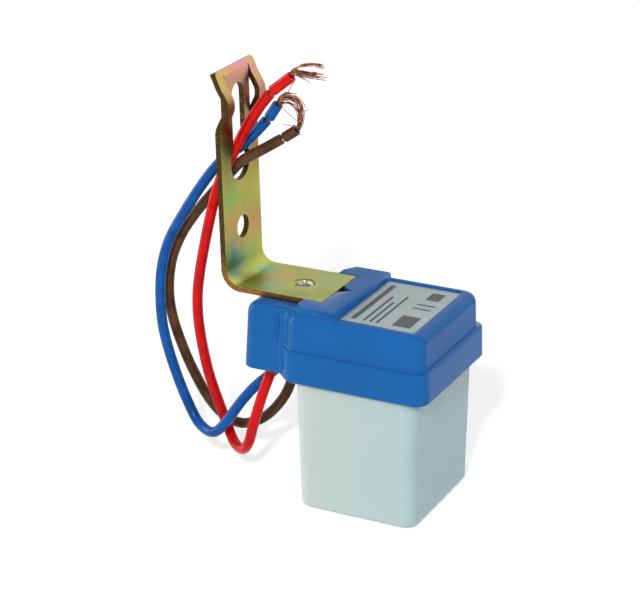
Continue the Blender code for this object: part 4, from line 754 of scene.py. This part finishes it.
# mounting bracket: folded steel strip, plated and chromated after it was sheared
bracketSet = {
    "edgeRound": 0.14 * mm,
    "gold": "#A6A44A",
    "olive": "#8A963E",
    "driftMm": 11.11,         # size of the drift between gold and olive
    "blotches": [(0.38, "#C88A9C"), (0.5, "#CE9468"), (0.62, "#C4A850")],
    "blotchMm": 2.6,
    "blotchHeights": (26.0, 36.0),    # mm between which the blotches come in
    "blotchShare": 0.5,
    # where the film is thinner or thicker, and where shade is painted: x, y, z of the middle, reach in mm,
    # colour, how much of it
    "filmPatchesAndPaintedShade": [
        (1.5, -4.5, -12.5, 6.0, "#4F8E80", 0.9), (1.5, -6.5, -14.5, 4.0, "#4A6E66", 0.7),
        (1.5, 3.5, -14.0, 5.0, "#7CA04A", 0.7), (1.5, -2.0, -9.0, 4.5, "#B08A42", 0.65),
        (1.5, -5.5, -3.5, 5.5, "#B48246", 0.75), (1.5, 5.5, -6.0, 6.0, "#BA8448", 0.8),
        (1.5, -6.5, 4.0, 5.0, "#74A048", 0.75), (1.5, 4.5, 3.5, 6.5, "#A49C34", 0.7),
        (1.5, -6.0, 12.0, 6.5, "#7E7E34", 0.8), (1.5, 8.0, 12.5, 7.0, "#94703A", 0.85),
        # these two and the next line's first patch, 20 to 26.5 mm up the leg, are partly the film's own
        # brown and olive and partly painted shade of the wires
        (1.5, -4.5, 20.0, 9.0, "#5E5430", 0.9), (1.5, 7.5, 20.0, 8.0, "#86703A", 0.8),
        (3, -8.5, 26.5, 8.0, "#6A4A30", 0.9), (2, 8.0, 29.0, 10.0, "#A8686E", 0.85),
        (-1, 0.5, 36.5, 10.0, "#CE8478", 0.9), (-2, -6.5, 36.5, 3.6, "#C4A450", 0.85),
        (-2, -1.5, 34.5, 2.6, "#C2A854", 0.75), (-2, 6.0, 37.0, 6.0, "#C888A0", 0.85),
        (7.0, 4.5, -18.4, 4.0, "#5F9A78", 0.85), (11.5, 2.5, -18.4, 5.0, "#B48E4E", 0.5),
        # the first patch here, dark olive near the bend, is painted shade
        (6.0, -3.5, -18.4, 5.5, "#6E6A30", 0.8), (13.0, -6.0, -18.4, 4.5, "#7FA07C", 0.7),
        (24.0, 3.0, -18.4, 7.0, "#8FA26E", 0.6), (18.0, 8.0, -18.4, 3.5, "#B09A58", 0.6),
    ],
    "warpMm": 7.143,          # size of the waves in the patches' outlines
    "filmWarp": 3.0,          # mm by which they wander
    "patchEdge": (1.2, 0.2),  # shares of the reach at which a patch begins and is full
}


def makeChromatedSteel():
    # zinc plate under yellow chromate: a thin film, gold and olive, that drifts to orange, pink and teal,
    # with some shade painted on the leg and the foot
    # a mix of colours takes its share in 0 and the colours in 6 and 7, and gives them out in 2
    material, shader, coords = startMaterial("yellowChromatedSteel", bracketSet["gold"], roughness=0.32,
                                             metallic=1.0)
    warp = addNode(material, "ShaderNodeTexNoise",
                   sockets={"Vector": coords, "Scale": 1000 / bracketSet["warpMm"], "Detail": 2.0})
    centred = addNode(material, "ShaderNodeVectorMath", {"operation": "SUBTRACT"},
                      {0: warp.outputs["Color"], 1: (0.5, 0.5, 0.5)})
    wandering = addNode(material, "ShaderNodeVectorMath", {"operation": "MULTIPLY_ADD"},
                        {0: centred.outputs["Vector"], 1: (bracketSet["filmWarp"] * 2 * mm,) * 3,
                         2: coords})
    drift = addNode(material, "ShaderNodeTexNoise",
                    sockets={"Vector": coords, "Scale": 1000 / bracketSet["driftMm"], "Detail": 2.0})
    film = addNode(material, "ShaderNodeValToRGB", sockets={"Fac": drift.outputs["Fac"]},
                   stops=[(0.35, bracketSet["olive"]), (0.62, bracketSet["gold"])]).outputs["Color"]
    begins, isFull = bracketSet["patchEdge"]
    # each patch is laid over the film in turn; a few of them are painted shade
    for x, y, z, reach, colour, strength in bracketSet["filmPatchesAndPaintedShade"]:
        apart = addNode(material, "ShaderNodeVectorMath", {"operation": "DISTANCE"},
                        {0: wandering.outputs["Vector"], 1: (x * mm, y * mm, z * mm)})
        share = addNode(material, "ShaderNodeMapRange", {"interpolation_type": "SMOOTHSTEP"},
                        {"Value": apart.outputs["Value"], "From Min": reach * begins * mm,
                         "From Max": reach * isFull * mm, "To Min": 0.0, "To Max": strength})
        film = addNode(material, "ShaderNodeMix", {"data_type": "RGBA"},
                       {0: share.outputs["Result"], 6: film, 7: hexColour(colour)}).outputs[2]
    # towards the bowed head the film breaks up into small gold and magenta blotches
    blotches = addNode(material, "ShaderNodeTexNoise",
                       sockets={"Vector": coords, "Scale": 1000 / bracketSet["blotchMm"], "Detail": 2.0})
    spots = addNode(material, "ShaderNodeValToRGB", sockets={"Fac": blotches.outputs["Fac"]},
                    stops=bracketSet["blotches"])
    height = addNode(material, "ShaderNodeSeparateXYZ", sockets={"Vector": coords})
    lowest, highest = bracketSet["blotchHeights"]
    share = addNode(material, "ShaderNodeMapRange", {"interpolation_type": "SMOOTHSTEP"},
                    {"Value": height.outputs["Z"], "From Min": lowest * mm, "From Max": highest * mm,
                     "To Max": bracketSet["blotchShare"]})
    addNode(material, "ShaderNodeMix", {"data_type": "RGBA"},
            {0: share.outputs["Result"], 6: film, 7: spots.outputs["Color"]},
            feeds={2: shader.inputs["Base Color"]})
    addGrain(material, shader, coords, grainMm=0.7, roughRange=(0.26, 0.42), bumpMm=0.015)
    return material


shearedEdge = {
    "brown": "#4A331B",
    "dull": [(0.4, "#382C18"), (0.58, "#544022"), (0.68, "#826A42"), (0.76, "#C4B48A")],
    "coppery": [(0.4, "#5C3A1E"), (0.56, "#97683A"), (0.68, "#D8A468"), (0.76, "#F0CFA0")],
    "speckMm": 0.3125,
    "footBlend": (-8.0, -18.0),    # mm between which the dull edge turns coppery
    "footBelow": -14.5,            # a face below this height is on the foot; all in mm
    "footSide": 9.0,
    "footFront": 25.0,
    "legDepth": 6.0,
}


def makeShearedEdge():
    # the strip's cut edges: rough from the shear, so the plate is dark brown with bright burnished specks
    material, shader, coords = startMaterial("shearedSteelEdge", shearedEdge["brown"], roughness=0.42,
                                             metallic=1.0)
    specks = addNode(material, "ShaderNodeTexNoise",
                     sockets={"Vector": coords, "Scale": 1000 / shearedEdge["speckMm"], "Detail": 3.0})
    dull = addNode(material, "ShaderNodeValToRGB", sockets={"Fac": specks.outputs["Fac"]},
                   stops=shearedEdge["dull"])
    coppery = addNode(material, "ShaderNodeValToRGB", sockets={"Fac": specks.outputs["Fac"]},
                      stops=shearedEdge["coppery"])
    height = addNode(material, "ShaderNodeSeparateXYZ", sockets={"Vector": coords})
    dullTo, copperyFrom = shearedEdge["footBlend"]
    onFoot = addNode(material, "ShaderNodeMapRange", {"interpolation_type": "SMOOTHSTEP"},
                     {"Value": height.outputs["Z"], "From Min": dullTo * mm,
                      "From Max": copperyFrom * mm})
    addNode(material, "ShaderNodeMix", {"data_type": "RGBA"},
            {0: onFoot.outputs["Result"], 6: dull.outputs["Color"], 7: coppery.outputs["Color"]},
            feeds={2: shader.inputs["Base Color"]})
    addGrain(material, shader, coords, grainMm=0.4, roughRange=(0.3, 0.5), bumpMm=0.02)
    return material


def isShearedEdge(middle, normal):
    # the strip's sides and slits, the foot's front edge, the head's top edge and the holes in the leg
    facesAside = abs(normal.y) > 0.55
    if middle.z < shearedEdge["footBelow"] * mm:
        onSide = facesAside and abs(middle.y) > shearedEdge["footSide"] * mm
        onFront = normal.x > 0.7 and middle.x > shearedEdge["footFront"] * mm
        return onSide or onFront
    onLeg = abs(middle.x) < shearedEdge["legDepth"] * mm
    return facesAside or abs(normal.x) < 0.45 and onLeg


bracketPiece = mergedCopy("mounting_bracket", "foldedBracket")
useOnly(bracketPiece)
bpy.ops.object.mode_set(mode="EDIT")
bpy.ops.mesh.select_all(action="SELECT")
bpy.ops.mesh.dissolve_limited(angle_limit=math.radians(0.3))
bpy.ops.object.mode_set(mode="OBJECT")
applyModifier(bracketPiece, "BEVEL", {"width": bracketSet["edgeRound"], "segments": 2,
                                      "limit_method": "ANGLE", "angle_limit": math.radians(50)})
smoothFlats(bracketPiece, 40)
finishPiece(bracketPiece, "foldedBracket", makeChromatedSteel(),
            ("mounting_bracket",))
bracketPiece.data.materials.append(makeShearedEdge())
editFaces(bracketPiece, isShearedEdge)
bracketPiece.active_material_index = 1
bpy.ops.object.material_slot_assign()
bpy.ops.object.mode_set(mode="OBJECT")
print("bracket made")


# screw: zinc plated, with a low domed head and a cross recess, sunk in the foot
screwSize = {
    "shank": 1.45,                 # radii and heights in mm
    "head": 2.55,
    "headHeight": 1.1,
    # rise and narrowing of each ring
    "dome": [(0.423, 0.906), (0.284, 0.78), (0.176, 0.664), (0.095, 0.443)],
    "tip": 0.3625,                 # width of the ring round the shank's end
    "recess": (2.5, 0.62, 0.8),    # length, width and depth of each arm
    "recessFoot": (0.45, 0.7),     # how much shorter and narrower it is at the bottom
    "recessTurn": 26,              # degrees
    "edge": 0.06,
}


def makeScrewShape():
    # a shank flared into a head, domed ring by ring, with two crossed arms cut into it
    low, high = [Vector(corner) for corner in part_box("bracket_screw")]
    axis = (low + high) / 2
    domeHeight = sum(height for height, spread in screwSize["dome"])
    shankLength = (high.z - low.z) / mm - domeHeight - screwSize["headHeight"]
    clearSelection()
    bpy.ops.mesh.primitive_cylinder_add(vertices=36, radius=screwSize["shank"] * mm, depth=shankLength * mm,
                                        location=(axis.x, axis.y, low.z + shankLength / 2 * mm))
    piece = bpy.context.object
    bpy.ops.object.transform_apply(location=True, rotation=True, scale=True)
    editFaces(piece, lambda centre, normal: normal.z > 0.9)
    flare = screwSize["head"] / screwSize["shank"]
    raiseFace(screwSize["headHeight"], (flare, flare), axis)
    for height, spread in screwSize["dome"]:
        raiseFace(height, (spread, spread), axis)
    editFaces(piece, lambda centre, normal: normal.z < -0.9)
    bpy.ops.mesh.inset(thickness=screwSize["tip"] * mm)
    bpy.ops.object.mode_set(mode="OBJECT")
    length, width, depth = screwSize["recess"]
    pivot = Vector((axis.x, axis.y, high.z))
    for quarter in (0, 90):
        clearSelection()
        bpy.ops.mesh.primitive_cube_add(size=mm, location=pivot)
        cutter = bpy.context.object
        bpy.ops.object.transform_apply(location=True, rotation=True, scale=True)
        bpy.ops.object.mode_set(mode="EDIT")
        bpy.ops.transform.resize(value=(length, width, depth * 2), center_override=pivot)
        editFaces(cutter, lambda centre, normal: normal.z < -0.9)
        bpy.ops.transform.resize(value=(*screwSize["recessFoot"], 1), center_override=pivot)
        bpy.ops.mesh.select_all(action="SELECT")
        bpy.ops.transform.rotate(value=-math.radians(screwSize["recessTurn"] + quarter), orient_axis="Z",
                                 center_override=pivot)
        bpy.ops.object.mode_set(mode="OBJECT")
        applyModifier(piece, "BOOLEAN", {"operation": "DIFFERENCE", "solver": "EXACT", "object": cutter})
        bpy.data.objects.remove(cutter)
    closeShape(piece)
    applyModifier(piece, "BEVEL", {"width": screwSize["edge"] * mm, "segments": 2,
                                   "limit_method": "ANGLE", "angle_limit": math.radians(45)})
    smoothFlats(piece, 40)
    return piece


screwPiece = makeScrewShape()


# nut and the parts inside keep their solids and get their own finishes
def makeSpeckled(name, colour, other, roughness, metallic, grainMm, bumpMm):
    # fine mottling of colour and gloss, for parts that are small or lie inside the housing
    material, shader, coords = startMaterial(name, colour, roughness, metallic)
    addMottle(material, shader, coords, grainMm, [(0.32, other), (0.66, colour)])
    addGrain(material, shader, coords, grainMm, (roughness - 0.07, roughness + 0.08), bumpMm)
    return material


zincPlate = makeSpeckled("zincPlatedSteel", "#C6C4BA", "#6A665A", 0.24, 1.0, 1.6, 0.01)
finishPiece(screwPiece, "crossHeadScrew", zincPlate, ("bracket_screw",))
print("screw made")

# each with its colour, its darker shade, roughness, metallic share, grain and bump in mm
nodeFinishes = {
    "captive_nut": zincPlate,
    "sealing_compound": makeSpeckled("blackEpoxy", "#2A2A2A", "#1C1C1C", 0.4, 0.0, 1.5, 0.05),
    "circuit_board": makeSpeckled("phenolicPaperBoard", "#A8803C", "#8E6A2E", 0.5, 0.0, 0.4, 0.01),
    "relay_case": makeSpeckled("blackPolyamide", "#232323", "#191919", 0.4, 0.0, 0.6, 0.02),
    "relay_base": "relay_case",
    "relay_coil": makeSpeckled("enamelledCopperWire", "#A8542A", "#7E3A1A", 0.3, 0.6, 0.3, 0.03),
    "relay_yoke": makeSpeckled("nickelledIron", "#B4B0A8", "#8E8A84", 0.3, 1.0, 0.5, 0.01),
    "relay_armature": "relay_yoke",
    "film_capacitor": makeSpeckled("dippedEpoxyRed", "#8C3A1E", "#742C16", 0.3, 0.0, 0.8, 0.03),
    "filter_capacitor": makeSpeckled("blackPvcSleeve", "#1E2226", "#14171A", 0.3, 0.0, 0.7, 0.01),
    "bridge_rectifier": makeSpeckled("blackEpoxyMoulding", "#26262A", "#1A1A1C", 0.45, 0.0, 0.3, 0.02),
    "zener_diode": makeSpeckled("orangeGlass", "#C4622A", "#A84E1E", 0.15, 0.0, 0.5, 0.01),
    "resistor_1": makeSpeckled("tanLacquer", "#C0A070", "#A88858", 0.35, 0.0, 0.4, 0.02),
    "resistor_2": "resistor_1",
    "light_sensor": makeSpeckled("orangeSensorLacquer", "#C86A34", "#A85424", 0.2, 0.0, 0.3, 0.01),
    "red_lead": pvc["red"],
    "blue_lead": pvc["blue"],
    "brown_lead": pvc["brown"],
}
for nodeName, finish in nodeFinishes.items():
    node = bpy.data.objects[nodeName]
    node.data.materials.clear()
    node.data.materials.append(nodeFinishes[finish] if isinstance(finish, str) else finish)
print("parts inside finished")


# studio: pale paper floor, key light from beside the camera, weaker light from the left, right and back
studio = {
    "paper": "#F8F8F7",
    "paperWidth": 6.0,
    "paperGap": 0.2 * mm,     # between the paper and the lowest point of the part
    "paperGlow": 0.44,        # what it adds for the camera and in reflections, so that it shows white
    "skyLight": 0.3,          # the world as a light; the camera and reflections see it white
    "aim": place(0, 0, 45),   # what the lamps point at
    "lamps": [
        # name, direction from the object, distance in m, size in m, watts
        ("keySoftbox", (0.22, -0.78, 0.59), 1.1, (0.1, 0.1), 5.6),
        ("leftStrip", (-0.95, -0.15, 0.25), 1.0, (0.2, 0.8), 3.8),
        ("rightFill", (0.85, -0.3, 0.4), 1.0, (0.5, 0.5), 1.0),
        ("backFill", (0.1, 0.93, 0.35), 1.0, (0.9, 0.9), 1.4),
    ],
}


def whiteOnlyWhenSeen(owner):
    # 1 for camera, mirror and see-through rays, 0 for the light that falls on things
    path = addNode(owner, "ShaderNodeLightPath")
    mirrored = addNode(owner, "ShaderNodeMath", {"operation": "MAXIMUM"},
                       {0: path.outputs["Is Camera Ray"], 1: path.outputs["Is Glossy Ray"]})
    return addNode(owner, "ShaderNodeMath", {"operation": "MAXIMUM"},
                   {0: mirrored.outputs["Value"], 1: path.outputs["Is Transmission Ray"]}).outputs["Value"]


def makeSeamlessPaper():
    # matt paper from a roll: no gloss at all, just the part's soft shadow
    material, shader, coords = startMaterial("seamlessPaper", studio["paper"], roughness=0.95)
    shader.inputs["Specular IOR Level"].default_value = 0.0
    shader.inputs["Emission Color"].default_value = (1, 1, 1, 1)
    addNode(material, "ShaderNodeMath", {"operation": "MULTIPLY"},
            {0: whiteOnlyWhenSeen(material), 1: studio["paperGlow"]},
            feeds={"Value": shader.inputs["Emission Strength"]})
    return material


clearSelection()
bpy.ops.mesh.primitive_plane_add(size=studio["paperWidth"],
                                 location=(0, 0, cadBox[0][2] - studio["paperGap"]))
floor = bpy.context.object
floor.name = "studioFloor"
floor.data.materials.append(makeSeamlessPaper())

world = bpy.data.worlds.new("studioWorld")
world.use_nodes = True
bpy.context.scene.world = world
sky = world.node_tree.nodes["Background"]
sky.inputs["Color"].default_value = (1, 1, 1, 1)
addNode(world, "ShaderNodeMapRange",
        sockets={"Value": whiteOnlyWhenSeen(world), "To Min": studio["skyLight"], "To Max": 1.0},
        feeds={"Result": sky.inputs["Strength"]})

for name, direction, distance, size, watts in studio["lamps"]:
    data = bpy.data.lights.new(name, "AREA")
    data.shape = "RECTANGLE"
    data.size, data.size_y = size
    data.energy = watts
    lamp = bpy.data.objects.new(name, data)
    bpy.context.scene.collection.objects.link(lamp)
    away = Vector(direction).normalized()
    lamp.location = studio["aim"] + away * distance
    lamp.rotation_euler = away.to_track_quat("Z", "Y").to_euler()
    lamp.visible_camera = False
bpy.context.scene.view_settings.view_transform = "Standard"
print("studio lit")
